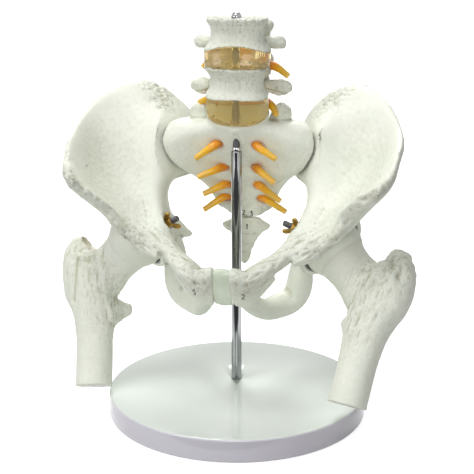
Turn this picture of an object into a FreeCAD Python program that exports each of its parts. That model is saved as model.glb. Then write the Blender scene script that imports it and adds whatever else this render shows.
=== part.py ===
import FreeCAD, Part
import math
import os

V = FreeCAD.Vector

# Life size model of a pelvis with two lumbar vertebrae, spinal nerves and half femurs on a rod stand.
# The origin is the centre of the base's underside. X runs to the model's left side, which is the
# right of a front view, the front of the pelvis faces minus Y, and Z is up.
# All bones are given from the rod's top shoulder, so they follow the rod and the base.

# Stand
base_diameter = 210.0
base_thickness = 19.0
base_edge_radius = 2.0
base_recess_diameter = 26.0
base_recess_depth = 6.0
rod_diameter = 8.5
rod_length = 194.0
rod_place_x = -3.3
rod_place_y = 16.5
rod_foot_depth = 8.0
base_screw_diameter = 5.0
base_screw_length = 18.0
base_washer_diameter = 18.0
base_washer_thickness = 1.5
screw_head_diameter = 9.0
screw_head_height = 3.0

# Threaded stud through the sacrum and both vertebrae
ring_diameter = 7.0
ring_height = 3.2
stud_diameter = 6.0
stud_depth_in_rod = 12.0
stud_clearance = 0.1
rod_clearance = 0.3
top_nut_diameter = 8.4
top_nut_height = 5.0
top_nut_wall = 1.2

# Vertebral bodies and discs, measured along their front edges
s1_width = 50.0
s1_depth = 33.0
s1_tilt = 38.0
s1_front_y = -8.0
s1_front_z = 20.0
lower_disc_height = 19.5
l5_height = 27.0
l5_width = 52.0
l5_depth = 34.0
l5_bottom_tilt = 14.0
l5_top_tilt = 4.0
l5_front_y = -14.0
upper_disc_height = 11.0
l4_height = 27.5
l4_width = 53.0
l4_top_width = 48.0
l4_depth = 34.0
l4_bottom_tilt = 3.0
l4_top_tilt = 0.0
l4_front_y = -13.0
l4_arch_rise = 6.0
l5_arch_rise = 2.5
waist_depth = 4.2
rim_chamfer = 1.1
disc_bulge = 0.8
canal_depth = 17.0
canal_width = 24.0

# Sacrum and coccyx
sacrum_canal_width = 15.0
sacrum_canal_depth = 9.0
foramen_radius = 5.2
si_gap = 0.5
coccyx_top_z = -66.5

# Hip bones
hip_centre = (79.5, -11.0, -73.0)
hip_gap = 0.9
socket_wall = 5.6
rim_setback = 1.0
rim_axis = (0.64, -0.60, -0.48)
bolt_axis = (0.79, 0.36, -0.49)
symphysis_width = 13.6

# Femurs
head_radius = 24.0
femur_length = 118.0
shaft_offset = 43.7
shaft_setback = 6.2
shaft_width = 31.0
shaft_thickness = 27.5
turn_left = (-26.2, -28.3, -1.3)
turn_right = (18.0, -24.0, 12.5)

# Hip bolts
bolt_diameter = 5.0
bolt_depth_in_head = 14.0
bolt_clearance = 0.15
bolt_past_nut = 6.0
washer_diameter = 12.0
washer_thickness = 1.0
wing_nut_height = 6.0
wing_nut_radius = 4.2
wing_span = 17.0
wing_height = 9.0
wing_thickness = 2.2
seat_depth = 33.5

# Sacroiliac screws
si_screw_diameter = 4.0
si_screw_length = 34.0

# Nerves
root_radius = 2.9
tip_radius = 1.9
trunk_width = 12.0
trunk_depth = 7.0
nerve_clearance = 0.2

shoulder_z = base_thickness + rod_length
shoulder = V(rod_place_x, rod_place_y, shoulder_z)


def loop(points):
    """A closed smooth curve through the points."""
    curve = Part.BSplineCurve()
    parameters = [float(k) for k in range(len(points) + 1)]
    curve.interpolate(Points=points, PeriodicFlag=True, Parameters=parameters)
    return curve


def skin(rings):
    """A smooth solid through rings of points, flat at both ends. Each ring has the same count."""
    loops = [loop(points) for points in rings]
    steps = [0.0]
    for points, others in zip(rings, rings[1:]):
        apart = sum((p - q).Length for p, q in zip(points, others)) / len(points)
        steps.append(steps[-1] + apart)
    rails = []
    for poles in zip(*[curve.getPoles() for curve in loops]):
        rail = Part.BSplineCurve()
        rail.interpolate(Points=list(poles), Parameters=steps)
        rails.append(rail)
    surface = Part.BSplineSurface()
    surface.buildFromPolesMultsKnots([rail.getPoles() for rail in rails], loops[0].getMultiplicities(),
                                     rails[0].getMultiplicities(), loops[0].getKnots(), rails[0].getKnots(),
                                     True, False, loops[0].Degree, rails[0].Degree)
    side = surface.toShape()
    ends = [edge for edge in side.Edges if not edge.isSeam(side)]
    caps = [Part.Face(Part.Wire([edge])) for edge in ends]
    solid = Part.Solid(Part.Shell([side] + caps))
    solid.fix(1e-6, 1e-6, 1e-6)
    if solid.Volume < 0:
        solid.reverse()
    return solid


def unit(x, y, z):
    return V(x, y, z).normalize()


def one(shape):
    """The single solid of a boolean's result."""
    solids = sorted(shape.Solids, key=lambda s: s.Volume)
    if len(solids) > 1 and solids[-2].Volume > 1.0:
        raise ValueError("a piece fell apart: %s" % [round(s.Volume) for s in solids])
    return solids[-1]


def fuse(shapes):
    """Join overlapping solids one by one, so that none can be lost unnoticed."""
    whole = shapes[0]
    for shape in shapes[1:]:
        joined = one(whole.fuse(shape))
        if joined.Volume < max(whole.Volume, shape.Volume) or joined.Volume > whole.Volume + shape.Volume:
            raise ValueError("a piece was lost in a join")
        whole = joined
    return whole


def mirrored(shape):
    return shape.mirror(V(0, 0, 0), V(1, 0, 0))


def cylinder(radius, height, start, axis):
    return Part.makeCylinder(radius, height, start, axis)


def oval(centre, side, across, a, b, count):
    points = []
    for k in range(count):
        angle = 2 * math.pi * k / count
        points.append(centre + side * (a * math.cos(angle)) + across * (b * math.sin(angle)))
    return points


def limb(stations, side, rounded=(False, False), count=8):
    """A bone's arm: ovals along a path. A station is x, y, z, the radius towards side, the other."""
    path = [V(*s[:3]) for s in stations]
    sizes = [(s[3], s[4]) for s in stations]
    tangents = []
    for k in range(len(path)):
        ahead = path[min(k + 1, len(path) - 1)]
        behind = path[max(k - 1, 0)]
        tangents.append((ahead - behind).normalize())
    if rounded[0]:
        start = path[0]
        back = tangents[0] * -sizes[0][1]
        path = [start + back * 0.92, start + back * 0.6] + path
        sizes = [(sizes[0][0] * 0.3, sizes[0][1] * 0.3), (sizes[0][0] * 0.78, sizes[0][1] * 0.78)] + sizes
        tangents = [tangents[0], tangents[0]] + tangents
    if rounded[1]:
        end = path[-1]
        on = tangents[-1] * sizes[-1][1]
        last = sizes[-1]
        path = path + [end + on * 0.6, end + on * 0.92]
        sizes = sizes + [(last[0] * 0.78, last[1] * 0.78), (last[0] * 0.3, last[1] * 0.3)]
        tangents = tangents + [tangents[-1], tangents[-1]]
    reference = V(*side)
    rings = []
    for place, size, tangent in zip(path, sizes, tangents):
        towards = (reference - tangent * reference.dot(tangent)).normalize()
        across = tangent.cross(towards)
        rings.append(oval(place, towards, across, size[0], size[1], count))
    return skin(rings)


def ball(centre, radii):
    """A knob or a dish along the axes, with tiny flats at its poles."""
    rings = []
    for height in (-0.98, -0.8, -0.45, 0.0, 0.45, 0.8, 0.98):
        share = math.sqrt(1 - height ** 2)
        level = V(*centre) + V(0, 0, height * radii[2])
        rings.append(oval(level, V(1, 0, 0), V(0, 1, 0), radii[0] * share, radii[1] * share, 8))
    return skin(rings)


# Vertebral plates

class Plate:
    """One end face of a vertebral body: its front edge, tilt, width and depth."""

    def __init__(self, front_y, front_z, tilt, width, depth):
        self.tilt = math.radians(tilt)
        self.half_width = width / 2
        self.half_depth = depth / 2
        self.back = V(0, math.cos(self.tilt), math.sin(self.tilt))
        self.up = V(0, -math.sin(self.tilt), math.cos(self.tilt))
        self.centre = V(0, front_y, front_z) + self.back * self.half_depth


def between(low, high, share):
    """A plate part of the way from one plate to the next."""
    mix = Plate(0, 0, 0, 1, 1)
    mix.tilt = low.tilt + (high.tilt - low.tilt) * share
    mix.half_width = low.half_width + (high.half_width - low.half_width) * share
    mix.half_depth = low.half_depth + (high.half_depth - low.half_depth) * share
    mix.back = V(0, math.cos(mix.tilt), math.sin(mix.tilt))
    mix.up = V(0, -math.sin(mix.tilt), math.cos(mix.tilt))
    mix.centre = low.centre + (high.centre - low.centre) * share
    return mix


def kidney(plate, level=0.0, grow=0.0, dent=3.5, count=14):
    """The outline of a vertebral body: an oval, a little squared, hollowed at the back."""
    points = []
    for k in range(count):
        angle = 2 * math.pi * (k + 0.5) / count
        c = math.cos(angle)
        s = math.sin(angle)
        x = (plate.half_width + grow) * math.copysign(abs(c) ** 0.86, c)
        y = (plate.half_depth + grow) * math.copysign(abs(s) ** 0.86, s)
        if s > 0:
            y -= dent * (1 - (x / (plate.half_width + grow)) ** 2) ** 2
        points.append(plate.centre + V(x, 0, 0) + plate.back * y + plate.up * level)
    return points


s1_top = Plate(s1_front_y, s1_front_z, s1_tilt, s1_width, s1_depth)
l5_bottom_z = s1_front_z + lower_disc_height
l5_top_z = l5_bottom_z + l5_height
l4_bottom_z = l5_top_z + upper_disc_height
l4_top_z = l4_bottom_z + l4_height
l5_bottom = Plate(l5_front_y, l5_bottom_z, l5_bottom_tilt, l5_width - 2, l5_depth)
l5_top = Plate(l5_front_y, l5_top_z, l5_top_tilt, l5_width, l5_depth)
l4_bottom = Plate(l4_front_y, l4_bottom_z, l4_bottom_tilt, l4_width, l4_depth)
l4_top = Plate(l4_front_y, l4_top_z, l4_top_tilt, l4_top_width, l4_depth - 2)


def vertebral_body(low, high):
    shares = (0.0, 0.045, 0.22, 0.5, 0.78, 0.955, 1.0)
    grows = (-rim_chamfer, 0.0, -0.55 * waist_depth, -waist_depth, -0.6 * waist_depth, 0.0, -rim_chamfer)
    rings = []
    for share, grow in zip(shares, grows):
        rings.append(kidney(between(low, high, share), 0.0, grow))
    return skin(rings)


def arch_tool(plate, rise):
    """A cylinder from front to back whose crown arches a vertebra's lower face."""
    half = plate.half_width - 1.0
    radius = (half ** 2 + rise ** 2) / (2 * rise)
    start = plate.centre - plate.back * 40 + plate.up * (rise - radius)
    return cylinder(radius, 80, start, plate.back)


def vertebra(low, high, arch_rise, span, process_z, process_radii, process_tip_y, facet_rise, roots):
    """Body, pedicles, transverse, articular and spinous processes."""
    body = vertebral_body(low, high)
    rear = low.centre.y + low.half_depth
    mid = between(low, high, 0.62).centre.z
    top = high.centre.z
    bottom = low.centre.z
    canal = canal_depth
    halves = []
    pedicle = limb([(13, rear - 8, mid, 5.5, 7), (14.5, rear + 1, mid, 4.2, 6.2),
                    (16, rear + 9, mid - 1, 5, 7)], (1, 0, 0))
    transverse = limb([(13, rear + 5, process_z + 2, process_radii[1], process_radii[0] + 1),
                       (0.62 * span, process_tip_y + 1, process_z, process_radii[1] * 0.8, process_radii[0] * 0.8),
                       (span - process_radii[1], process_tip_y, process_z - 0.5, process_radii[1],
                        process_radii[0])], (0, 1, 0), (False, True))
    lamina = limb([(17, rear + 8, mid - 2, 5, 7), (12, rear + canal - 1, mid - 6, 4, 8.5),
                   (2, rear + canal + 5, mid - 9, 4.5, 9)], (0, 1, 0))
    upper = limb([(17, rear + 12, mid, 6, 5), (18, rear + 12, (mid + top + facet_rise) / 2, 6, 4.5),
                  (18.5, rear + 12, top + facet_rise, 6, 4)], (1, 0, 0), (False, True))
    lower = limb([(14, rear + canal - 3, mid - 6, 5.5, 5), (12.5, rear + canal + 2, bottom - 4, 5.5, 4.2),
                  (12.5, rear + canal + 2, bottom - 8, 5, 4)], (1, 0, 0), (False, True))
    for piece in (pedicle, transverse, lamina, upper, lower):
        halves.append(piece)
        halves.append(mirrored(piece))
    spine = limb([(0, rear + canal + 2, mid - 8, 4, 9), (0, rear + canal + 14, mid - 12, 2.8, 8),
                  (0, rear + canal + 26, mid - 15, 3.4, 8.5)], (1, 0, 0), (False, True))
    whole = fuse([body] + halves + [spine])
    body_side = Part.makeBox(90, rear + 61, 60, V(-45, -60, low.centre.z - 45))
    grooves = [make_nerve(name, nerve_clearance) for name in nerve_paths if name[:2] in roots]
    return one(whole.cut([arch_tool(low, arch_rise).common(body_side), stud_hole()] + grooves))


def stud_hole():
    radius = stud_diameter / 2 + stud_clearance
    return cylinder(radius, l4_top_z + 60, V(0, 0, -30), V(0, 0, 1))


def disc(low, high, rise):
    """A disc fills the space between two bodies, up into the arch of the upper one."""
    rings = [kidney(low, 0.0, -rim_chamfer), kidney(between(low, high, 0.5), 0.0, disc_bulge),
             kidney(high, 0.0, -0.2), kidney(high, rise + 1.0, -0.9)]
    blank = skin(rings)
    shaped = blank.common(arch_tool(high, rise))
    return one(shaped.cut(stud_hole()))


# Nerves

def make_trunk():
    rear = l4_bottom.centre.y + l4_bottom.half_depth + 8
    return limb([(0, rear + 1, l4_top_z + 3, trunk_width / 2, trunk_depth / 2),
                 (0, rear, l4_bottom_z, trunk_width / 2, trunk_depth / 2),
                 (0, rear + 1, l5_bottom_z, trunk_width / 2, trunk_depth / 2),
                 (0, rear + 5, 14, trunk_width * 0.42, trunk_depth * 0.42),
                 (0, 35, -2, trunk_width * 0.3, trunk_depth * 0.36),
                 (0, 40, -14, trunk_width * 0.2, trunk_depth * 0.3)], (1, 0, 0))


nerve_paths = {
    # root, bend and tip, measured on both sides of the photographed model
    "l4_left": ((14, 26, 86), (23, 24, 73), (36.5, 20, 61)),
    "l4_right": ((14, 26, 86), (23, 24, 73), (31, 21, 63)),
    "l5_left": ((16, 27, 41), (25, 19, 36), (29.5, 8, 29)),
    "l5_right": ((16, 27, 41), (26, 20, 38), (33, 14, 36)),
    "s1_left": ((14, 10, 5), (18, -2, 4), (32.5, -7, -4)),
    "s1_right": ((14, 10, 5), (18, -2, 4), (32, -6, -6)),
    "s2_left": ((11.5, 22, -17), (16, 10, -17), (30, 2, -25)),
    "s2_right": ((11.5, 22, -17), (16, 10, -17), (32, 2, -23)),
    "s3_left": ((11, 36, -35), (15, 26, -34), (33, 18, -44)),
    "s3_right": ((11, 36, -35), (15, 26, -34), (31, 19, -41)),
    "s4_left": ((12, 46, -48), (17, 37, -47), (36, 30, -56)),
    "s4_right": ((12, 46, -48), (17, 37, -47), (33, 30, -57)),
}


def make_nerve(name, wider=0.0):
    root, bend, tip = nerve_paths[name]
    thick = root_radius + wider
    thin = tip_radius + wider
    mean = (thick + thin) / 2
    middle = tuple((b + t) / 2 for b, t in zip(bend, tip))
    nerve = limb([root + (thick, thick), bend + (thick, thick), middle + (mean, mean), tip + (thin, thin)],
                 (0, 0, 1))
    if name.endswith("right"):
        nerve = mirrored(nerve)
    return nerve


# Sacrum and coccyx

def sacrum_slice(front, z, half, depth, side_front, wing):
    """A level slice: the front's middle, half width, depth, how far the sides lie behind it."""
    points = []
    right = [(0.0, front), (0.42 * half, front + 0.15 * side_front), (0.80 * half, front + side_front),
             (half, front + side_front + 0.30 * wing), (0.93 * half, front + side_front + 0.75 * wing),
             (0.62 * half, front + depth - 1.5), (0.28 * half, front + depth + 1.0)]
    for x, y in right:
        points.append(V(x, y, z))
    points.append(V(0, front + depth + 3.0, z))
    for x, y in reversed(right[1:]):
        points.append(V(-x, y, z))
    return points


sacrum_levels = (
    # front y, z, half width, depth, how far back the sides are, depth of the side
    (1.0, 22.5, 40.0, 32.0, 8.0, 22.0),
    (-4.0, 17.5, 60.0, 43.0, 7.0, 34.0),
    (-1.0, 8.0, 69.0, 46.0, 1.5, 42.0),
    (6.0, -5.0, 67.0, 44.0, -4.0, 40.0),
    (16.0, -18.0, 54.0, 36.0, -9.0, 32.0),
    (25.0, -29.0, 39.0, 28.0, -6.0, 22.0),
    (33.0, -40.0, 31.0, 20.0, -2.0, 13.0),
    (39.0, -51.0, 27.0, 15.0, -0.5, 9.0),
    (42.5, -59.0, 24.0, 12.0, 0.0, 7.0),
    (44.0, -63.0, 17.0, 10.0, 0.5, 6.0),
    (44.5, coccyx_top_z, 12.0, 9.0, 0.5, 5.5),
)

si_line = ((40, 60), (52, 40), (62, 24), (64.8, 14), (65.5, 7), (63.5, -4), (60.4, -12),
           (56.8, -20), (53.5, -26), (50, -36))
si_run = unit(-0.42, 0.90, -0.06)


def si_tool(shift, outer_x):
    """The region to one side of the sacroiliac joint, with its curved face moved by shift."""
    start_y = -45.0
    lead = si_run * (start_y / si_run.y)
    curve = Part.BSplineCurve()
    points = [V(x + shift, 0, z) + lead for x, z in si_line]
    curve.interpolate(points)
    top = V(outer_x, start_y, 60)
    low = V(outer_x, start_y, si_line[-1][1] + lead.z)
    edges = [curve.toShape(), Part.makeLine(points[-1], low), Part.makeLine(low, top),
             Part.makeLine(top, points[0])]
    face = Part.Face(Part.Wire(Part.__sortEdges__(edges)))
    return face.extrude(si_run * 130)


foramen_levels = ((17.0, -1.5, 3.0), (14.0, 12.0, -18.0), (13.2, 27.0, -36.0), (14.3, 38.0, -49.0))


def make_sacrum():
    blank = skin([sacrum_slice(*level) for level in sacrum_levels])
    top = skin([kidney(s1_top, 0.0, -rim_chamfer), kidney(s1_top, -1.2, 0.0), kidney(s1_top, -9, -2.0),
                kidney(s1_top, -20, -4.0)])
    pieces = [blank, top]
    for mark in (1, -1):
        pieces.append(limb([(mark * 27, 22, 10, 10, 8), (mark * 32, 21, 22, 9, 8), (mark * 33.5, 19, 29, 8, 7)],
                           (1, 0, 0), (False, True)))
        pieces.append(limb([(mark * 20, 10, 8, 13, 12), (mark * 34, 15, 9, 11, 12), (mark * 48, 19, 6, 10, 12)],
                           (0, 0, 1), (False, True)))
    for y, z in ((42, -2), (50, -18), (55, -34), (55, -46)):
        pieces.append(ball((0, y, z), (4, 7, 7)))
    whole = fuse(pieces)
    canal = limb([(0, 30, 60, 12, 9), (0, 31, 20, 11, 7), (0, 34, 0, 8.5, 4.5), (0, 42, -20, 7, 3.6),
                  (0, 49, -38, 5.5, 2.8), (0, 54, -52, 4, 2.2), (0, 60, -62, 3, 2)], (1, 0, 0))
    whole = whole.cut(canal)
    holes = []
    for x, y, z in foramen_levels:
        for mark in (1, -1):
            mouth = limb([(mark * (x + 3), y - 9, z - 2, foramen_radius * 1.5, foramen_radius * 1.2),
                          (mark * x, y + 1, z, foramen_radius, foramen_radius * 0.85),
                          (mark * (x - 2.5), y + 12, z + 1, foramen_radius * 0.6, foramen_radius * 0.6)],
                         (1, 0, 0))
            holes.append(mouth)
    for name in nerve_paths:
        holes.append(make_nerve(name, nerve_clearance))
    holes.append(cylinder(rod_diameter / 2 + rod_clearance, 60 + rod_clearance, V(0, 0, -60), V(0, 0, 1)))
    holes.append(cylinder(ring_diameter / 2 + rod_clearance, ring_height + rod_clearance, V(0, 0, 0), V(0, 0, 1)))
    whole = whole.cut(holes)
    whole = whole.cut(si_tool(-si_gap / 2, 140))
    whole = whole.cut(mirrored(si_tool(-si_gap / 2, 140)))
    return one(whole.cut(stud_hole()))


coccyx_levels = (
    # centre y, z, half width, half depth
    (49.0, coccyx_top_z, 11.5, 4.3),
    (48.7, -69.5, 15.0, 4.6),
    (48.0, -73.0, 20.5, 4.4),
    (47.0, -78.0, 17.0, 4.2),
    (46.0, -83.5, 10.5, 4.0),
    (44.5, -90.0, 7.5, 3.7),
    (42.5, -97.0, 5.0, 3.2),
    (40.5, -103.0, 3.0, 2.4),
    (39.7, -105.0, 1.2, 1.0),
)


def make_coccyx():
    rings = []
    for y, z, half, depth in coccyx_levels:
        rings.append(oval(V(0, y, z), V(1, 0, 0), V(0, 1, 0), half, depth, 10))
    return skin(rings)


# Hip bones, modelled on the plus X side

iliac_fan = (
    # base point, crest point, thickness at base, middle and crest, bulge outwards
    ((88, -43, -60), (88, -50, -50), 9, 9, 7, 0),
    ((86, -39, -59), (89, -55, -38), 12, 10, 7, 0),
    ((85, -36, -58), (97, -60, -27), 14, 9, 7, 0.5),
    ((84, -33, -57), (108, -70, -19), 15, 9, 8, 1),
    ((84, -31, -57), (117, -75, -12), 16, 8.5, 10, 2),
    ((84, -29, -57), (123, -68, -5), 16, 8, 11, 3),
    ((83, -28, -56), (127, -57, -3), 16, 7.5, 11, 4),
    ((81, -23, -54), (131, -38, 8), 16, 6, 10, 6),
    ((77, -16, -49), (133, -14, 18), 16, 5.5, 11, 8),
    ((73, -11, -43), (130, 6, 28), 16, 5.5, 10, 8),
    ((69, -7, -37), (121, 22, 40), 16, 6, 9, 3),
    ((66, -4, -31), (110, 38, 47), 17, 7, 9, -3),
    ((64, 0, -26), (97, 50, 51), 18, 9, 9, -7),
    ((61, 8, -23), (80, 58, 46), 18, 12, 9, -8),
    ((57, 18, -23), (63, 64, 34), 17, 15, 10, -5),
    ((50, 30, -25), (49, 67, 15), 16, 15, 10, 0),
)

# The thick rear of the ilium: level outlines from the joint's front edge round the outside to the rear
iliac_block = (
    (-29, ((56, 2), (64, -3), (68, 8), (62, 24), (52, 42), (43, 48), (39, 42), (46, 22))),
    (-17, ((58, -3), (67, -3), (74, 8), (68, 24), (57, 46), (45, 60), (36, 56), (42, 28))),
    (-5, ((61, -3), (71, 0), (82, 12), (78, 26), (62, 52), (46, 68), (36, 64), (42, 28))),
    (7, ((63, -2), (76, 5), (90, 17), (86, 30), (66, 57), (50, 70), (40, 66), (46, 32))),
    (19, ((65, 4), (79, 12), (96, 24), (90, 36), (72, 60), (57, 68), (48, 64), (52, 38))),
    (30, ((68, 24), (82, 25), (100, 34), (95, 42), (78, 61), (66, 66), (58, 61), (60, 46))),
    (39, ((78, 42), (88, 38), (100, 40), (96, 47), (86, 57), (76, 60), (70, 57), (72, 50))),
)


def make_ilium():
    rings = []
    count = len(iliac_fan)
    for k, (base, crest, low, mid, high, bulge) in enumerate(iliac_fan):
        base = V(*base)
        crest = V(*crest)
        ahead = iliac_fan[min(k + 1, count - 1)]
        behind = iliac_fan[max(k - 1, 0)]
        along = (V(*ahead[1]) + V(*ahead[0]) - V(*behind[1]) - V(*behind[0])).normalize()
        rise = (crest - base).normalize()
        out = along.cross(rise).normalize()
        span = (crest - base).Length
        profile = ((0.0, 0.0, 0.30), (0.08, low * 0.45, 0.0), (0.38, mid * 0.5, 0.0), (0.72, mid * 0.55, 0.0),
                   (0.93, high * 0.5, 0.0), (1.0, 0.0, 0.0))
        points = []
        for share, half, sink in profile[:1] + profile[1:5]:
            arc = 4 * share * (1 - share) * bulge
            points.append(base + rise * (span * share) + out * (arc - half))
        points.append(crest)
        for share, half, sink in reversed(profile[1:5]):
            arc = 4 * share * (1 - share) * bulge
            points.append(base + rise * (span * share) + out * (arc + half))
        rings.append(points)
    return skin(rings)


socket_radius = head_radius + hip_gap
hip_point = V(*hip_centre)
hip_rim = unit(*rim_axis)
hip_bolt = unit(*bolt_axis)


def make_hip():
    ilium = make_ilium()
    block = skin([[V(x, y, z) for x, y in outline] for z, outline in iliac_block])
    brim = limb([(60, 12, -20, 12, 9), (65, 0, -30, 12, 9), (65, -9, -42, 12, 9), (59, -22, -53, 12, 9),
                 (54, -34, -61, 11, 10), (48, -43, -68, 9, 8.5), (40, -51, -74, 7.5, 7.5),
                 (30, -59, -81, 8, 8), (19, -63, -88, 8, 9)], (0, 0, 1))
    front = limb([(89, -49, -47, 6, 7), (86, -44.5, -56, 7.5, 8.5), (78, -41, -63.5, 8, 9),
                  (65, -43.5, -68, 8.5, 8.5), (51, -48, -72.5, 6.5, 7)], (0, 0, 1), (True, False))
    shelf = limb([(79.5, -8, -33, 3, 9), (79, -17, -46, 6, 14), (74.5, -26.5, -56, 7.5, 15),
                  (66, -35, -63.5, 8, 13), (54, -44, -70, 6.5, 8)], (-0.45, -0.5, 0.74), (True, False))
    column = limb([(65, 2, -32, 10, 9), (67, 8, -50, 12, 10), (65, 10, -70, 15, 12), (56, 9, -86, 14, 10),
                   (52.5, 7, -100, 13, 9.8), (51, 6, -112, 12, 11), (47, 4, -121, 11, 11),
                   (38, -3, -125.5, 9.5, 10.5), (27, -22, -124, 8, 8.5), (20, -38, -115, 8, 7.5),
                   (16, -50, -105, 9, 7.5), (15.5, -58, -96, 9, 8)], (0, 1, 0))
    pubis = limb([(symphysis_width / 2, -60, -95, 19, 7), (14, -60.5, -94.5, 18.5, 8), (22, -59, -93, 15, 8),
                  (28, -56, -90, 11, 7.5), (35, -51, -84, 7, 7)], (0, -0.5, 1), count=10)
    spine = limb([(60, 10, -68, 12, 8), (51, 18, -72, 8, 5), (44, 23, -76, 3.5, 2.5)], (0, 0, 1), (False, True))
    wall = Part.makeSphere(socket_radius + socket_wall, hip_point)
    keep = cylinder(60, 60, hip_point - hip_rim * (60 + rim_setback), hip_rim)
    bulk = wall.common(keep)
    whole = fuse([ilium, front, block, brim, shelf, column, pubis, spine, bulk])
    cavity = Part.makeSphere(socket_radius, hip_point)
    mouth = Part.makeCone(socket_radius, socket_radius + 14, 30, hip_point, hip_rim)
    whole = whole.cut([cavity, mouth])
    seat_start = hip_point - hip_bolt * seat_depth
    seat = cylinder(washer_diameter / 2 + 3.5, 16, seat_start, hip_bolt * -1)
    bore = cylinder(bolt_diameter / 2 + bolt_clearance, 60, hip_point, hip_bolt * -1)
    whole = whole.cut([seat, bore])
    whole = whole.cut(si_tool(si_gap / 2, -60))
    half_space = Part.makeBox(60, 200, 300, V(symphysis_width / 2 - 60, -150, -200))
    return one(whole.cut(half_space))


def make_symphysis():
    """The disc between the pubic bones, narrower than their faces and a little proud in front."""
    half = symphysis_width / 2
    rings = []
    for x, grow in ((-half, -0.6), (-half * 0.4, 0.4), (half * 0.4, 0.4), (half, -0.6)):
        rings.append(oval(V(x, -60, -95), V(0, -0.447, 0.894), V(0, 0.894, 0.447), 18 + grow, 6.6 + grow, 10))
    return skin(rings)


# Femur, modelled about its head with local x to the side, y to the back and z up

def sided(stations, mark):
    return [(mark * station[0],) + tuple(station[1:]) for station in stations]


def make_femur(mark):
    head = Part.makeSphere(head_radius)
    drop = 0.75 * shaft_offset
    neck_end = V(shaft_offset, shaft_setback, -drop)
    steps = ((0.16, 21.5, 21.0), (0.40, 18.6, 17.0), (0.62, 19.0, 15.0), (0.85, 22.0, 15.2), (1.05, 20.0, 15.0))
    neck_line = [tuple(neck_end * share) + (a, b) for share, a, b in steps]
    neck = limb(sided(neck_line, mark), (mark * 0.6, 0, 0.8), count=10)
    x = shaft_offset
    y = shaft_setback
    a = shaft_width / 2
    b = shaft_thickness / 2
    shaft_line = [(x, y, -femur_length, a, b), (x, y, -100, a - 0.3, b), (x, y, -80, a + 0.2, b),
                  (x + 0.3, y, -64, a + 2, b + 0.8), (x + 1.5, y, -50, a + 5, b + 1.8),
                  (x + 4.5, y, -36, a + 8.5, b + 2.6), (x + 9, y, -22, a + 6.5, b + 3),
                  (x + 12.5, y - 0.5, -10, a + 1.0, b + 1.5), (x + 13.5, y - 1.5, -2, a - 5, b - 3)]
    shaft = limb(sided(shaft_line, mark), (mark, 0, 0), (False, True), count=10)
    greater_line = [(x + 17, y - 1, -34, 7, 9), (x + 22, y - 1, -20, 8, 10), (x + 18, y - 2, -6, 9, 10)]
    greater = limb(sided(greater_line, mark), (mark, 0, 0), (True, True))
    lesser_line = [(33, 9, -57, 15, 11), (26, 13.5, -56, 10, 8), (20, 17, -55.5, 6, 5)]
    lesser = limb(sided(lesser_line, mark), (0, 0, 1), (False, True))
    ridge_line = [(x, y + b - 1, -femur_length, 3.2, 2.4), (x, y + b - 0.6, -90, 3.4, 2.6),
                  (x + 1, y + b, -70, 3, 2.4), (x + 6, y + b, -50, 2.5, 2)]
    ridge = limb(sided(ridge_line, mark), (mark, 0, 0))
    whole = fuse([head, neck, shaft, greater, lesser, ridge])
    fossa = ball((mark * (x - 1.5), y + 10, -7), (6.5, 8, 12))
    dish = ball((mark * (x + 6.5), y - 1, 4.5), (8, 6, 5.0))
    return one(whole.cut([fossa, dish]))


def place_femur(turn, mark):
    """Turn the femur about its head's centre and drill it for the hip bolt."""
    femur = make_femur(mark)
    rotation = FreeCAD.Rotation(V(0, 0, 1), mark * turn[0])
    rotation = rotation.multiply(FreeCAD.Rotation(V(1, 0, 0), turn[1]))
    rotation = rotation.multiply(FreeCAD.Rotation(V(0, 1, 0), mark * turn[2]))
    centre = V(mark * hip_point.x, hip_point.y, hip_point.z)
    inward = V(-mark * hip_bolt.x, -hip_bolt.y, -hip_bolt.z)
    femur.Placement = FreeCAD.Placement(centre, rotation)
    hole_floor = head_radius - bolt_depth_in_head
    drill = cylinder(bolt_diameter / 2, bolt_depth_in_head + 10, centre + inward * hole_floor, inward)
    return one(femur.cut(drill))


# Hip bolt, washer and wing nut on the bolt's line

def seat_point():
    return hip_point - hip_bolt * seat_depth


def make_bolt():
    start = hip_point - hip_bolt * (head_radius - bolt_depth_in_head)
    end_depth = seat_depth + washer_thickness + wing_nut_height + bolt_past_nut
    length = end_depth - (head_radius - bolt_depth_in_head)
    bolt = cylinder(bolt_diameter / 2, length, start, hip_bolt * -1)
    rim = [e for e in bolt.Edges if e.Curve.TypeId == "Part::GeomCircle"]
    return bolt.makeChamfer(0.5, [max(rim, key=lambda e: (e.CenterOfMass - start).Length)])


def make_washer():
    outer = cylinder(washer_diameter / 2, washer_thickness, seat_point(), hip_bolt * -1)
    return outer.cut(cylinder(bolt_diameter / 2 + bolt_clearance, 5, seat_point() + hip_bolt, hip_bolt * -1))


def make_wing_nut():
    """A tapered hub with two upright wings, cut through by the bolt."""
    hub = Part.makeCone(wing_nut_radius, wing_nut_radius * 0.78, wing_nut_height)
    wing = limb([(wing_nut_radius * 0.4, 0, 3.2, wing_thickness / 2, 2.8),
                 (wing_nut_radius + 1.5, 0, 5.0, wing_thickness / 2, 3.4),
                 (wing_span / 2 - 2.0, 0, wing_height - 2.5, wing_thickness / 2, 3.0)],
                (0, 1, 0), (False, True))
    nut = fuse([hub, wing, mirrored(wing)])
    nut = one(nut.cut(cylinder(bolt_diameter / 2, 20, V(0, 0, -5), V(0, 0, 1))))
    nut = one(nut.common(Part.makeBox(40, 40, 20, V(-20, -20, 0))))
    rotation = FreeCAD.Rotation(V(0, 0, 1), hip_bolt * -1)
    rotation = rotation.multiply(FreeCAD.Rotation(V(0, 0, 1), 60))
    nut.Placement = FreeCAD.Placement(seat_point() - hip_bolt * washer_thickness, rotation)
    return nut


# Stand pieces, already in the model's own frame

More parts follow.
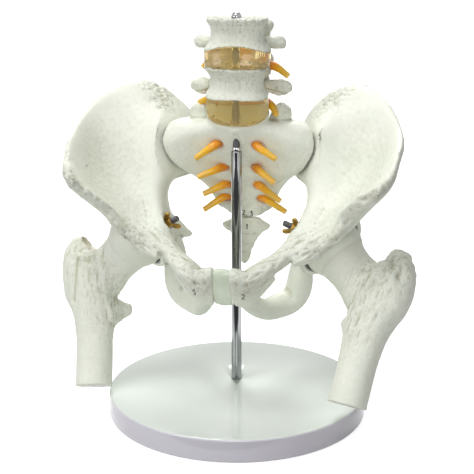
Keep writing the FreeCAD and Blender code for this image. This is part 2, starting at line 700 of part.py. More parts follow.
def make_base():
    radius = base_diameter / 2
    base = Part.makeCylinder(radius, base_thickness)
    edges = [e for e in base.Edges if e.Curve.TypeId == "Part::GeomCircle"]
    base = base.makeFillet(base_edge_radius, edges)
    foot = V(rod_place_x, rod_place_y, 0)
    socket = cylinder(rod_diameter / 2 + stud_clearance, rod_foot_depth + 1,
                      foot + V(0, 0, base_thickness - rod_foot_depth), V(0, 0, 1))
    recess = cylinder(base_recess_diameter / 2, base_recess_depth, foot, V(0, 0, 1))
    hole = cylinder(base_screw_diameter / 2 + stud_clearance, base_thickness, foot, V(0, 0, 1))
    return one(base.cut([socket, recess, hole]))


def screw_solid(diameter, length, head_diameter, head_height):
    """A pan head screw: the head's face on z 0, the shank up from it."""
    head = Part.makeCylinder(head_diameter / 2, head_height, V(0, 0, -head_height))
    rim = [e for e in head.Edges if e.Curve.TypeId == "Part::GeomCircle" and e.CenterOfMass.z < -0.01]
    head = head.makeFillet(head_height * 0.45, rim)
    shank = Part.makeCylinder(diameter / 2, length)
    return fuse([head, shank])


def make_rod():
    foot_z = base_thickness - rod_foot_depth
    rod = cylinder(rod_diameter / 2, shoulder_z - foot_z, V(rod_place_x, rod_place_y, foot_z), V(0, 0, 1))
    rim = [e for e in rod.Edges if e.Curve.TypeId == "Part::GeomCircle"]
    rod = rod.makeChamfer(0.4, rim)
    tap = cylinder(stud_diameter / 2, stud_depth_in_rod + 1, shoulder - V(0, 0, stud_depth_in_rod), V(0, 0, 1))
    thread = cylinder(base_screw_diameter / 2, base_screw_length, V(rod_place_x, rod_place_y, 0), V(0, 0, 1))
    return one(rod.cut([tap, thread]))


def make_top_nut():
    """A domed cap nut on the top vertebra."""
    radius = top_nut_diameter / 2
    dome_radius = top_nut_height * 0.98
    dome = Part.makeSphere(dome_radius, V(0, 0, top_nut_height - dome_radius))
    nut = Part.makeCylinder(radius, top_nut_height).common(dome)
    return one(nut.cut(Part.makeCylinder(stud_diameter / 2, top_nut_height - top_nut_wall)))


pieces = {}


def hang(name, shape):
    """Keep a piece that was modelled from the rod's shoulder."""
    moved = shape.copy()
    moved.translate(shoulder)
    pieces[name] = moved


foot = V(rod_place_x, rod_place_y, 0)
pieces["base"] = make_base()
pieces["rod"] = make_rod()
washer_z = base_recess_depth - base_washer_thickness
washer = cylinder(base_washer_diameter / 2, base_washer_thickness, foot + V(0, 0, washer_z), V(0, 0, 1))
washer = washer.cut(cylinder(base_screw_diameter / 2 + stud_clearance, base_thickness, foot, V(0, 0, 1)))
pieces["base_washer"] = one(washer)
screw = screw_solid(base_screw_diameter, base_screw_length - washer_z, screw_head_diameter, screw_head_height)
screw.translate(foot + V(0, 0, washer_z))
pieces["base_screw"] = screw

collar = cylinder(ring_diameter / 2, ring_height, V(0, 0, 0), V(0, 0, 1))
hang("rod_ring", one(collar.cut(cylinder(stud_diameter / 2, 20, V(0, 0, -5), V(0, 0, 1)))))
top_face_z = l4_top.centre.z - math.tan(l4_top.tilt) * l4_top.centre.y
top_nut = make_top_nut()
top_nut.translate(V(0, 0, top_face_z))
hang("top_nut", top_nut)
stud_top = top_face_z + top_nut_height - top_nut_wall
stud = cylinder(stud_diameter / 2, stud_top + stud_depth_in_rod, V(0, 0, -stud_depth_in_rod), V(0, 0, 1))
hang("threaded_rod", stud)

sacrum = make_sacrum()
hang("sacrum", sacrum)
hang("coccyx", make_coccyx())
l5 = vertebra(l5_bottom, l5_top, l5_arch_rise, 40.0, 49.0, (7.0, 5.5), 21.0, 4.0, ("l4", "l5"))
l4 = vertebra(l4_bottom, l4_top, l4_arch_rise, 36.0, 85.0, (5.0, 3.8), 17.0, -7.0, ("l4",))
hang("l5_vertebra", l5)
hang("l4_vertebra", l4)
hang("disc_l5_s1", disc(s1_top, l5_bottom, l5_arch_rise))
hang("disc_l4_l5", disc(l5_top, l4_bottom, l4_arch_rise))

hip = make_hip()
hang("hip_bone_left", hip)
hang("hip_bone_right", mirrored(hip))
hang("pubic_disc", make_symphysis())

hang("femur_left", place_femur(turn_left, 1))
hang("femur_right", place_femur(turn_right, -1))
for name, make in (("hip_bolt", make_bolt), ("hip_washer", make_washer), ("wing_nut", make_wing_nut)):
    piece = one(make())
    hang(name + "_left", piece)
    hang(name + "_right", mirrored(piece))

hang("nerve_trunk", make_trunk())
for name in nerve_paths:
    hang("nerve_" + name, make_nerve(name))

os.makedirs("parts", exist_ok=True)
for name, shape in pieces.items():
    shape.exportStep("parts/%s.step" % name)
    print(name, shape.ShapeType, shape.isValid(), round(shape.Volume))
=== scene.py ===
import math

import bmesh
import bpy
import numpy as np
from mathutils import Matrix, Vector
from mathutils.bvhtree import BVHTree


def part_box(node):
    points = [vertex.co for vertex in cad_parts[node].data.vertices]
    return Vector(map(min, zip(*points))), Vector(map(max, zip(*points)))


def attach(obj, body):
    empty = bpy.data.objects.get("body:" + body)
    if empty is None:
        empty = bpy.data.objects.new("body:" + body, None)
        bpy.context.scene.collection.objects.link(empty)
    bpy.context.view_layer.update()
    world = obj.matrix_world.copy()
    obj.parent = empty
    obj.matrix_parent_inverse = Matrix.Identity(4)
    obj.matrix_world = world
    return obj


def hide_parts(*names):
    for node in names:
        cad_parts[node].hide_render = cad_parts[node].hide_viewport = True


bl_info = {
    "name": "Pelvis teaching model",
    "version": (1, 0, 0),
    "blender": (4, 5, 0),
    "location": "View3D > Sidebar > Pelvis",
    "description": "Builds the finish of a pelvis teaching model over its solids",
    "category": "Object",
}

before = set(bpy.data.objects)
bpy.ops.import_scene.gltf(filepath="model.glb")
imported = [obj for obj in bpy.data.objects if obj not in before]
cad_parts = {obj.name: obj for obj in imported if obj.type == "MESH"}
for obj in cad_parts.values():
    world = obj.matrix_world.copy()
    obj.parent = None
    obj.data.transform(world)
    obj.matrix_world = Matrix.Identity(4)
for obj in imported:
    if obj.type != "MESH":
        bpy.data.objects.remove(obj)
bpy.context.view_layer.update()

MM = 0.001
# The rod's top shoulder, from which every bone is placed, in millimetres
SHOULDER = np.array([-3.3, 16.5, 213.0])
SIDES = {"left": 1, "right": -1}
# The hip joint's centre and its bolt's direction outwards, from the shoulder
HIP_CENTRE = (79.5, -11.0, -73.0)
BOLT_LINE = Vector((0.79, 0.36, -0.49)).normalized()


def linear(code):
    """A colour written as sRGB hex, as linear red, green, blue and full alpha."""
    channels = [int(code[k:k + 2], 16) / 255 for k in (0, 2, 4)]
    return tuple(c / 12.92 if c < 0.04045 else ((c + 0.055) / 1.055) ** 2.4 for c in channels) + (1.0,)


# Properties

class BoneSettings(bpy.types.PropertyGroup):
    """How the cast bones are coloured and sculpted"""
    colour: bpy.props.FloatVectorProperty(
        name="Bone", description="Cast bone where the light falls on it", subtype="COLOR", size=4,
        default=linear("F0F3E6"), min=0, max=1)
    # Grey-green painted into the hollows and pits as shade
    painted_shade_colour: bpy.props.FloatVectorProperty(
        name="Hollows", description="Cast bone in its hollows and pits", subtype="COLOR", size=4,
        default=linear("BDBDA6"), min=0, max=1)
    hip_grain: bpy.props.FloatProperty(
        name="Hip grain", description="Spacing of the sculpted surface on the hip bones", unit="LENGTH",
        subtype="DISTANCE", default=1.15 * MM, min=0.5 * MM, max=5 * MM)
    spine_grain: bpy.props.FloatProperty(
        name="Spine grain", description="Spacing of the sculpted surface on sacrum and vertebrae",
        unit="LENGTH", subtype="DISTANCE", default=0.8 * MM, min=0.5 * MM, max=5 * MM)
    pit_depth: bpy.props.FloatProperty(
        name="Pit depth", description="Depth of the pits in rough bone", unit="LENGTH", subtype="DISTANCE",
        default=0.35 * MM, min=0, max=2 * MM)


class SoftSettings(bpy.types.PropertyGroup):
    """The colours of discs and nerves"""
    disc_colour: bpy.props.FloatVectorProperty(
        name="Disc", description="Amber of the lumbar discs", subtype="COLOR", size=4,
        default=linear("F8E2A8"), min=0, max=1)
    pubic_colour: bpy.props.FloatVectorProperty(
        name="Pubic disc", description="Pale green of the pubic disc", subtype="COLOR", size=4,
        default=linear("EFF6E4"), min=0, max=1)
    root_colour: bpy.props.FloatVectorProperty(
        name="Nerve root", description="Orange of a nerve where it leaves the bone", subtype="COLOR", size=4,
        default=linear("D96C0A"), min=0, max=1)
    tip_colour: bpy.props.FloatVectorProperty(
        name="Nerve tip", description="Yellow of a nerve's cut end", subtype="COLOR", size=4,
        default=linear("FFC526"), min=0, max=1)


class StandSettings(bpy.types.PropertyGroup):
    """Sizes of the stand, the threads and the numbers"""
    base_edge: bpy.props.FloatProperty(
        name="Base edge", description="Radius of the base's upper edge", unit="LENGTH", subtype="DISTANCE",
        default=2.0 * MM, min=0.5 * MM, max=6 * MM)
    stud_pitch: bpy.props.FloatProperty(
        name="Stud thread", description="Pitch of the threaded stud", unit="LENGTH", subtype="DISTANCE",
        default=1.0 * MM, min=0.5 * MM, max=3 * MM)
    bolt_pitch: bpy.props.FloatProperty(
        name="Bolt thread", description="Pitch of the hip bolts", unit="LENGTH", subtype="DISTANCE",
        default=0.8 * MM, min=0.5 * MM, max=3 * MM)
    number_height: bpy.props.FloatProperty(
        name="Number height", description="Height of the small numbers on the bones", unit="LENGTH",
        subtype="DISTANCE", default=4.2 * MM, min=1 * MM, max=8 * MM)


# Meshes

def put_object(name, data):
    """A new object at the origin, linked to the scene."""
    made = bpy.data.objects.new(name, data)
    bpy.context.scene.collection.objects.link(made)
    return made


def make_object(name, points, faces, material=None):
    """A smooth mesh object from points in millimetres."""
    mesh = bpy.data.meshes.new(name)
    mesh.from_pydata([tuple(p) for p in np.asarray(points) * MM], [], faces)
    mesh.update()
    mesh.shade_smooth()
    if material:
        mesh.materials.append(material)
    return put_object(name, mesh)


def points_of(mesh):
    """A mesh's points as rows of millimetres."""
    flat = np.empty(len(mesh.vertices) * 3)
    mesh.vertices.foreach_get("co", flat)
    return flat.reshape(-1, 3) / MM


def put_points(mesh, points):
    """Gives a mesh its points from rows of millimetres."""
    mesh.vertices.foreach_set("co", (points * MM).ravel())
    mesh.update()


def paint(mesh, name, values):
    """Stores one number for each point, for the materials to read."""
    layer = mesh.attributes.get(name) or mesh.attributes.new(name, "FLOAT", "POINT")
    layer.data.foreach_set("value", np.ascontiguousarray(values, dtype=np.float32))


def evaluated_mesh(made):
    """The mesh that an object's modifiers give, with the modifiers then removed."""
    graph = bpy.context.evaluated_depsgraph_get()
    mesh = bpy.data.meshes.new_from_object(made.evaluated_get(graph))
    made.modifiers.clear()
    return mesh


def grid_faces(rings, count):
    """Faces of a closed tube of rings with the same number of points."""
    faces = []
    for row in range(rings - 1):
        for k in range(count):
            nxt = (k + 1) % count
            faces.append((row * count + k, row * count + nxt, (row + 1) * count + nxt, (row + 1) * count + k))
    faces.append(tuple(reversed(range(count))))
    faces.append(tuple(range((rings - 1) * count, rings * count)))
    return faces


def turned(name, profile, count, material=None):
    """A piece turned about the Z axis from radius and height pairs in millimetres, from bottom to top."""
    angles = np.linspace(0, 2 * math.pi, count, endpoint=False)
    points = []
    for radius, height in profile:
        ring = np.stack([radius * np.cos(angles), radius * np.sin(angles), np.full(count, height)], -1)
        points.extend(ring)
    return make_object(name, points, grid_faces(len(profile), count), material)


def rounded_corner(radius, height, size, start, end, steps=8):
    """Profile points round a corner whose arc has its centre at the given radius and height."""
    points = []
    for k in range(steps + 1):
        angle = math.radians(start + (end - start) * k / steps)
        points.append((radius + size * math.cos(angle), height + size * math.sin(angle)))
    return points


def smooth_path(points, steps):
    """Points on a smooth curve through the given points, so many to each stretch."""
    points = np.asarray(points, float)
    padded = np.vstack([2 * points[0] - points[1], points, 2 * points[-1] - points[-2]])
    result = []
    for k in range(len(points) - 1):
        a, b, c, d = padded[k:k + 4]
        for step in range(steps):
            t = step / steps
            result.append(0.5 * (2 * b + (c - a) * t + (2 * a - 5 * b + 4 * c - d) * t ** 2
                                 + (3 * b - a - 3 * c + d) * t ** 3))
    result.append(points[-1])
    return np.array(result)


def move_mesh(made, matrix):
    """Moves the points, so that the object stays at the origin."""
    made.data.transform(matrix)
    made.data.update()


def surface_tree(mesh):
    """A mesh's surface, ready for searches."""
    faces = [tuple(face.vertices) for face in mesh.polygons]
    return BVHTree.FromPolygons([point.co for point in mesh.vertices], faces)


def fit(made, node, body):
    """Puts a finished piece in its solid's place, hiding the solid, and on the solid's body."""
    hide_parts(node)
    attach(made, body)


def pelvis_place(point, side=1):
    """A point given from the shoulder in millimetres, in the frame's metres."""
    return Vector((np.array(point) * (side, 1, 1) + SHOULDER) * MM)


# Sculpting

def noise(points, size, seed):
    """Smooth seeded noise between minus one and one, in lumps of the given size in millimetres."""
    scaled = points / size + 31.7 * seed
    cell = np.floor(scaled).astype(np.int64)
    part = scaled - cell
    part = part * part * (3 - 2 * part)
    total = np.zeros(len(points))
    for corner in range(8):
        offset = np.array([corner & 1, corner >> 1 & 1, corner >> 2 & 1])
        place = cell + offset
        code = place[:, 0] * 73856093 ^ place[:, 1] * 19349663 ^ place[:, 2] * 83492791
        code = (code ^ code >> 13) & 0xFFFFFF
        code = (code * (code * code * 15731 + 789221) + 1376312589) & 0x7FFFFFFF
        weight = np.prod(np.where(offset, part, 1 - part), axis=1)
        total += weight * (code / 0x3FFFFFFF - 1)
    return total


def clamped(values):
    """Values kept between nothing and one."""
    return np.clip(values, 0, 1)


def near(points, centre, reach):
    """One at a place, falling off to nothing over its reach."""
    apart = np.linalg.norm(points - np.array(centre, float), axis=1)
    return np.exp(-(apart / reach) ** 2)


def near_line(points, line, reach):
    """One on a broken line through the given points, falling off over its reach."""
    best = np.full(len(points), 1e9)
    for start, end in zip(line, line[1:]):
        start = np.array(start, float)
        run = np.array(end, float) - start
        share = clamped((points - start) @ run / (run @ run))
        apart = np.linalg.norm(points - start - share[:, None] * run, axis=1)
        best = np.minimum(best, apart)
    return np.exp(-(best / reach) ** 2)


def squeezed(points, direction, stretch):
    """Points drawn together along a direction, so that noise taken at them is drawn out along it."""
    along = np.array(direction, float)
    along /= np.linalg.norm(along)
    return points + np.outer(points @ along, along) * (1 / stretch - 1)


class Clay:
    """A solid as an even mesh that can be sculpted. Its points are in millimetres from the shoulder."""

    def __init__(self, node, grain):
        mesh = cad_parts[node].data.copy()
        welded = bmesh.new()
        welded.from_mesh(mesh)
        bmesh.ops.remove_doubles(welded, verts=welded.verts, dist=0.002 * MM)
        welded.to_mesh(mesh)
        welded.free()
        mesh.materials.clear()
        self.node = node
        self.thing = put_object(node + "_cast", mesh)
        voxels = self.thing.modifiers.new("Even", "REMESH")
        voxels.mode = "VOXEL"
        voxels.voxel_size = grain
        self.thing.data = evaluated_mesh(self.thing)
        self.mesh = self.thing.data
        self.points = points_of(self.mesh) - SHOULDER
        pairs = np.empty(len(self.mesh.edges) * 2, np.int32)
        self.mesh.edges.foreach_get("vertices", pairs)
        self.pairs = pairs.reshape(-1, 2)
        self.degree = np.bincount(pairs, minlength=len(self.points))[:, None]
        self.stain = np.zeros(len(self.points))
        self.seam = np.zeros(len(self.points))
        self.rough = np.full(len(self.points), 0.25)
        self.fibre = (0, 0, 1)

    def average(self, values):
        """Each point's mean over its neighbours."""
        a, b = self.pairs.T
        size = len(self.points)
        total = np.stack([np.bincount(a, values[b, k], size) + np.bincount(b, values[a, k], size)
                          for k in range(values.shape[1])], -1)
        return total / self.degree

    def blur(self, values, rounds):
        """One number for each point, evened out."""
        column = values[:, None]
        for _ in range(rounds):
            column = self.average(column)
        return column[:, 0]

    def relax(self, rounds, share=None):
        """Evens out steps without shrinking the form. The share says how much, for each point."""
        share = 1.0 if share is None else share[:, None]
        for _ in range(rounds):
            for step in (0.55, -0.57):
                self.points = self.points + share * step * (self.average(self.points) - self.points)

    def normals(self):
        """The points' normals, after the mesh has been given the points as they are."""
        put_points(self.mesh, self.points + SHOULDER)
        flat = np.empty(len(self.points) * 3)
        self.mesh.vertices.foreach_get("normal", flat)
        return flat.reshape(-1, 3)

    def swell(self, heights):
        """Raises or lowers each point along its normal by millimetres."""
        self.points = self.points + self.normals() * heights[:, None]

    def blend(self, share, fill=1.0, round_off=0.5):
        """Fills creases and rounds off edges between joined forms, for each point by its share."""
        for rounds in (180, 90, 40, 15):
            smooth = self.points
            for _ in range(rounds):
                smooth = self.average(smooth)
            normals = self.normals()
            lift = ((smooth - self.points) * normals).sum(1)
            lift = np.where(lift > 0, fill * lift, round_off * lift)
            self.points = self.points + normals * (lift * share)[:, None]

    def finish(self, material, body):
        """Writes the points, works out the hollows for the painted shade and fits the piece to its body."""
        smooth = self.points
        depths = []
        for rounds in (5, 20):
            for _ in range(rounds):
                smooth = self.average(smooth)
            depths.append(((smooth - self.points) * self.normals()).sum(1))
        fine, broad = depths
        # How hollow each point is; the material paints shade by it
        paint(self.mesh, "hollow", clamped(0.5 + fine * 1.8 + broad * 0.22))
        for name in ("stain", "rough", "seam"):
            paint(self.mesh, name, clamped(getattr(self, name)))
        along = squeezed(self.points, self.fibre, 5.0) * MM
        layer = self.mesh.attributes.new("fibre", "FLOAT_VECTOR", "POINT")
        layer.data.foreach_set("vector", along.astype(np.float32).ravel())
        self.mesh.shade_smooth()
        self.mesh.materials.append(material)
        fit(self.thing, self.node, body)


# Materials

def add(tree, kind, inputs=None, **settings):
    """Adds a node with its settings. Each input is given a constant or another node's socket."""
    made = tree.nodes.new(kind)
    for name, value in settings.items():
        setattr(made, name, value)
    for name, value in (inputs or {}).items():
        if isinstance(value, bpy.types.NodeSocket):
            tree.links.new(value, made.inputs[name])
        else:
            made.inputs[name].default_value = value
    return made


def ramp(tree, source, stops):
    """Colours out of a number, between stops of a place and a colour."""
    made = add(tree, "ShaderNodeValToRGB", {"Fac": source})
    elements = made.color_ramp.elements
    while len(elements) < len(stops):
        elements.new(0.5)
    for element, (place, colour) in zip(elements, stops):
        element.position = place
        element.color = colour
    return made.outputs["Color"]


def grey(value):
    """A grey of the given linear value, with full alpha."""
    return (value, value, value, 1.0)


def share_ramp(tree, source, *stops):
    """A share out of a number, between stops of a place and a share."""
    return ramp(tree, source, [(place, grey(value)) for place, value in stops])


def calculated(tree, operation, first, second):
    """One number out of two, each of them a constant or a socket."""
    return add(tree, "ShaderNodeMath", {0: first, 1: second}, operation=operation).outputs[0]


def mapped(tree, value, start, end, low, high):
    """A number between two bounds, brought between two others."""
    inputs = {"Value": value, "From Min": start, "From Max": end, "To Min": low, "To Max": high}
    return add(tree, "ShaderNodeMapRange", inputs).outputs[0]


def mixed(tree, share, first, second):
    """The first colour, and more of the second one the greater the share is."""
    return add(tree, "ShaderNodeMix", {0: share, 6: first, 7: second}, data_type="RGBA").outputs[2]


def noise_texture(tree, place, scale, detail, roughness=0.5):
    """Noise whose lumps are about one metre over the scale across."""
    inputs = {"Vector": place, "Scale": scale, "Detail": detail, "Roughness": roughness}
    return add(tree, "ShaderNodeTexNoise", inputs).outputs["Fac"]


def painted(tree, name):
    """The number stored for each point under a name."""
    return add(tree, "ShaderNodeAttribute", attribute_name=name).outputs["Fac"]


def relief(tree, height, depth, strength, under=None):
    """A bump of the given depth in millimetres, over another one if that is given."""
    inputs = {"Height": height, "Distance": depth * MM, "Strength": strength}
    if under:
        inputs["Normal"] = under
    return add(tree, "ShaderNodeBump", inputs).outputs[0]


def clear_nodes(owner):
    """The emptied node tree of a material or a world."""
    owner.use_nodes = True
    owner.node_tree.nodes.clear()
    return owner.node_tree


def blank_material(name):
    """A material with one shader, and the place on the object that its patterns follow."""
    made = bpy.data.materials.new(name)
    tree = clear_nodes(made)
    shader = add(tree, "ShaderNodeBsdfPrincipled")
    add(tree, "ShaderNodeOutputMaterial", {"Surface": shader.outputs["BSDF"]})
    return made, tree, shader, add(tree, "ShaderNodeTexCoord").outputs["Object"]


def cast_pvc(colour, painted_shade_colour):
    """Cast PVC from moulds of real bone: dull, off-white, with grey-green painted shade in its hollows and
    pits, fine fibres and pores.
    """
    made, tree, shader, place = blank_material("cast_pvc_bone")
    rough = painted(tree, "rough")
    # Clouds of a slightly greyer white, 40 mm across, and flecks of 3 mm
    body = ramp(tree, noise_texture(tree, place, 25.0, 4.0), ((0.38, colour), (0.66, linear("E9EDDF"))))
    flecks = share_ramp(tree, noise_texture(tree, place, 330.0, 3.0), (0.5, 0.0), (0.75, 0.16))
    body = mixed(tree, flecks, body, linear("CFCFBD"))
    # Grey-green painted shade in the hollows
    shade = share_ramp(tree, painted(tree, "hollow"), (0.52, 0.0), (1.0, 0.85))
    body = mixed(tree, shade, body, painted_shade_colour)
    # Older, browner cast where the bone is rough
    patches = share_ramp(tree, noise_texture(tree, place, 120.0, 3.0), (0.42, 0.0), (0.66, 0.55))
    body = mixed(tree, calculated(tree, "MULTIPLY", patches, rough), body, linear("D3D2BC"))
    # Fibres 1 mm apart and pores 1.2 mm apart, both drawn out along the bone
    along = add(tree, "ShaderNodeAttribute", attribute_name="fibre").outputs["Vector"]
    fibres = noise_texture(tree, along, 950.0, 3.0, 0.6)
    pores = add(tree, "ShaderNodeTexVoronoi", {"Scale": 820.0, "Vector": along}).outputs["Distance"]
    # Crumbly lumps of 2 mm where ligaments held
    lumps = noise_texture(tree, place, 420.0, 5.0, 0.72)
    # Painted shade in the grooves of the fibres, in the pores and between the lumps, more where the bone is
    # rough
    fibre_shade = share_ramp(tree, fibres, (0.3, 0.4), (0.5, 0.0))
    pore_shade = calculated(tree, "MULTIPLY", share_ramp(tree, pores, (0.06, 1.0), (0.26, 0.0)), 0.38)
    lump_shade = share_ramp(tree, lumps, (0.34, 0.75), (0.5, 0.0))
    dark = calculated(tree, "MAXIMUM", calculated(tree, "MAXIMUM", fibre_shade, pore_shade), lump_shade)
    share = calculated(tree, "MULTIPLY", dark, rough)
    body = mixed(tree, share, body, linear("A9A99A"))
    # Paint that has run into the holes round the nerves, and nearly black painted shade in the open joints,
    # the hip sockets and a small hole
    body = mixed(tree, painted(tree, "stain"), body, linear("A8743A"))
    body = mixed(tree, painted(tree, "seam"), body, linear("24231F"))
    tree.links.new(body, shader.inputs["Base Color"])
    shader.inputs["Roughness"].default_value = 0.48
    shader.inputs["IOR"].default_value = 1.53
    # Fibres, pores and lumps stand in relief too, deeper where the bone is rough
    bump = relief(tree, fibres, 0.8, mapped(tree, rough, 0.0, 1.0, 0.08, 1.0))
    bump = relief(tree, pores, 0.4, share, bump)
    bump = relief(tree, lumps, 1.3, calculated(tree, "POWER", rough, 2.0), bump)
    tree.links.new(bump, shader.inputs["Normal"])
    return made


def clear_urethane(name, colour, inner, transmission):
    """Cast urethane rubber: clouded, lets the light through, a soft gloss."""
    made, tree, shader, place = blank_material(name)
    clouds = noise_texture(tree, place, 90.0, 3.0)
    tree.links.new(ramp(tree, clouds, ((0.3, colour), (0.75, inner))), shader.inputs["Base Color"])
    shader.inputs["Roughness"].default_value = 0.14
    shader.inputs["IOR"].default_value = 1.48
    shader.inputs["Transmission Weight"].default_value = transmission
    skin = noise_texture(tree, place, 260.0, 2.0)
    tree.links.new(relief(tree, skin, 0.15, 0.15), shader.inputs["Normal"])
    return made


def nerve_vinyl(root, tip):
    """Dipped vinyl, painted by hand: orange at the root, running out to yellow at the cut end."""
    made, tree, shader, place = blank_material("painted_vinyl_nerve")
    # Uneven paint, in patches of about 2 mm
    patches = noise_texture(tree, place, 420.0, 3.0)
    moved = calculated(tree, "MULTIPLY", patches, 0.35)
    total = calculated(tree, "ADD", painted(tree, "along"), moved)
    colour = ramp(tree, total, ((0.15, linear("8A4A12")), (0.34, root), (0.66, linear("F29C10")), (0.9, tip),
                                (1.0, linear("F5C34A"))))
    tree.links.new(colour, shader.inputs["Base Color"])
    shader.inputs["Roughness"].default_value = 0.3
    shader.inputs["IOR"].default_value = 1.54
    shader.inputs["Subsurface Weight"].default_value = 0.15
    shader.inputs["Subsurface Radius"].default_value = (1.0, 0.5, 0.1)
    shader.inputs["Subsurface Scale"].default_value = 1.5 * MM
    tree.links.new(relief(tree, patches, 0.25, 0.5), shader.inputs["Normal"])
    return made


def moulded_abs(top):
    """Injection moulded ABS: glossy white, faintly green on top, painted greyer on its side as shade, with a
    wavy shine.
    """
    made, tree, shader, place = blank_material("moulded_abs_base")
    clouds = noise_texture(tree, place, 12.0, 2.0)
    upper = ramp(tree, clouds, ((0.3, linear("E4ECE4")), (0.75, linear("E0E7E0"))))
    # The rim is painted greyer and a little violet as shade; this begins 0.3 mm under the top and is full at
    # 0.9 mm
    height = add(tree, "ShaderNodeSeparateXYZ", {"Vector": place}).outputs["Z"]
    rim = mapped(tree, height, (top - 0.3) * MM, (top - 0.9) * MM, 0.0, 1.0)
    tree.links.new(mixed(tree, rim, upper, linear("D6D3DC")), shader.inputs["Base Color"])
    scuffs = noise_texture(tree, place, 55.0, 5.0)
    tree.links.new(share_ramp(tree, scuffs, (0.35, 0.1), (0.8, 0.17)), shader.inputs["Roughness"])
    shader.inputs["IOR"].default_value = 1.53
    # Sink and flow waves of 25 mm
    waves = noise_texture(tree, place, 40.0, 1.0)
    tree.links.new(relief(tree, waves, 0.05, 0.5), shader.inputs["Normal"])
    return made


def metal(name, colour, roughness, change, scale, stretch=(1, 1, 1)):
    """A bare metal whose roughness changes in patches of the given scale."""
    made, tree, shader, place = blank_material(name)
    place = add(tree, "ShaderNodeMapping", {"Scale": stretch, "Vector": place}).outputs[0]
    tarnish = noise_texture(tree, place, scale, 4.0)
    low = tuple(0.82 * c for c in colour[:3]) + (1.0,)
    tree.links.new(ramp(tree, tarnish, ((0.3, low), (0.6, colour))), shader.inputs["Base Color"])
    gloss = share_ramp(tree, tarnish, (0.3, roughness + change), (0.7, roughness))
    tree.links.new(gloss, shader.inputs["Roughness"])
    shader.inputs["Metallic"].default_value = 1.0
    tree.links.new(relief(tree, tarnish, 0.02, 0.3), shader.inputs["Normal"])
    return made


def chrome(name, colour, roughness, change):
    """Polished chrome plate on steel: a mirror with hardly any scratches, drawn out along the rod."""
    return metal(name, colour, roughness, change, 60.0, (4, 4, 0.3))


def zinc():
    """Zinc plated steel: a dull silver sheen."""
    return metal("zinc_plated_steel", linear("B9BABC"), 0.3, 0.15, 400.0)


def dark_steel():
    """Oiled thread-rolled steel: dark grey with bright crests."""
    return metal("oiled_threaded_steel", linear("77777A"), 0.3, 0.2, 500.0)


def brass():
    """Machined brass, a little tarnished: yellow-brown with a soft shine."""
    return metal("tarnished_brass", linear("B7944E"), 0.26, 0.2, 350.0)


def number_ink():
    """Black stamping ink, dull on the cast bone."""
    made, tree, shader, place = blank_material("stamping_ink")
    patches = noise_texture(tree, place, 1500.0, 3.0)
    colour = ramp(tree, patches, ((0.35, linear("1E1E1E")), (0.75, linear("45453F"))))
    tree.links.new(colour, shader.inputs["Base Color"])
    shader.inputs["Roughness"].default_value = 0.6
    return made


# Bones

# Where nerves leave the sacrum's front, from the shoulder
NERVE_HOLES = ((17.5, 1, 5), (15, 13, -17), (14, 28, -34.5), (16, 38, -47))
# Lines on the left hip bone: its crest, its front edge, the upper ramus of the pubis and the ischium
CREST_LINE = ((60, 52, 24), (74, 46, 46), (95, 25, 66), (118, 0, 68), (134, -25, 55), (138, -48, 35),
              (136, -52, 16))
FRONT_LINE = ((118, -70, -10), (104, -64, -23), (97, -60, -31), (89, -55, -48), (80, -50, -57),
              (69, -47, -63))
RAMUS_LINE = ((72, -45, -66), (57, -47, -62), (46, -54, -69), (33, -61, -74), (20, -68, -84))
ISCHIUM_LINE = ((66, 20, -120), (58, 8, -140), (45, -20, -142), (30, -45, -125))
# What the two femurs show in front, each turned its own way
FEMUR_MARKS = {
    "right": {"shaft": (-0.07, 0.1, 1.0), "dish": (-125, 3, -82), "top": (-124, -8, -88),
              "ridge": ((-112, -17, -84), (-108, -23, -95), (-104, -27, -112), (-99, -30, -136)),
              "groove": ((-130.5, -15.5, -93), (-131, -22, -108), (-131, -26, -124))},
    "left": {"shaft": (0.3, 0.05, 1.0), "dish": (133, -24, -72), "top": (132, -36, -80),
             "ridge": ((123, -44, -75), (113, -48, -87), (105, -52, -102), (101, -58, -123), (98, -55, -146)),
             "groove": ((133, -50, -82), (136, -53, -97), (131, -56, -112))},
}
# The front edge of each vertebral body, its middle's height, half its height and its seed for noise
VERTEBRAE = {"l5_vertebra": (-14, 53, 13.5, 10), "l4_vertebra": (-13, 91.3, 13.8, 25)}
# More of the left hip bone: where ligaments hold it, its front spine, the notch below that, the tubercle
# of the pubis and the hole that feeds the wing
TUBEROSITY_LINE = ((84, 42, 54), (74, 42, 42), (68, 33, 32))
SPINE_LINE = ((134, -44, 8), (127, -58, -2), (118, -71, -8))
NOTCH_LINE = ((106, -65, -22), (94, -59, -36))
PUBIC_TUBERCLE = (14, -66, -90)
WING_HOLE = (116.5, -27.6, -10.7)
# The left edge of the sacrum's face to the hip, and the heights where its vertebrae have grown together
SACRUM_EDGE = ((58, 20, 20), (61, 6, 8), (57, 6, -6), (45, 17, -22))
SACRUM_RIDGES = (-13.0, -33.0, -51.0)
COCCYX_GROOVES = (-80.0, -88.0, -95.0)
STUD_MOUTH = (0, -1, 15)
# Inside this distance from the ball's centre the socket is painted dark, as shade
SOCKET_REACH = 27.2


def rough_noise(points, seed):
    """Lumps and pits of cast bone at three sizes."""
    return (0.5 * noise(points, 5.0, seed) + 0.32 * noise(points, 2.4, seed + 1)
            + 0.25 * noise(points, 1.3, seed + 2))


def pits(points, size, seed):
    """Minus one in scattered pits, nothing between them."""
    return -clamped(noise(points, size, seed) * 2.4 - 0.7)


def streaks(points, direction, size, stretch, seed):
    """Noise drawn out along a direction, as the fibres on bone run."""
    return noise(squeezed(points, direction, stretch), size, seed)


def ridged(values):
    """Sharp crests out of smooth noise."""
    return 1 - 2.2 * np.abs(values)


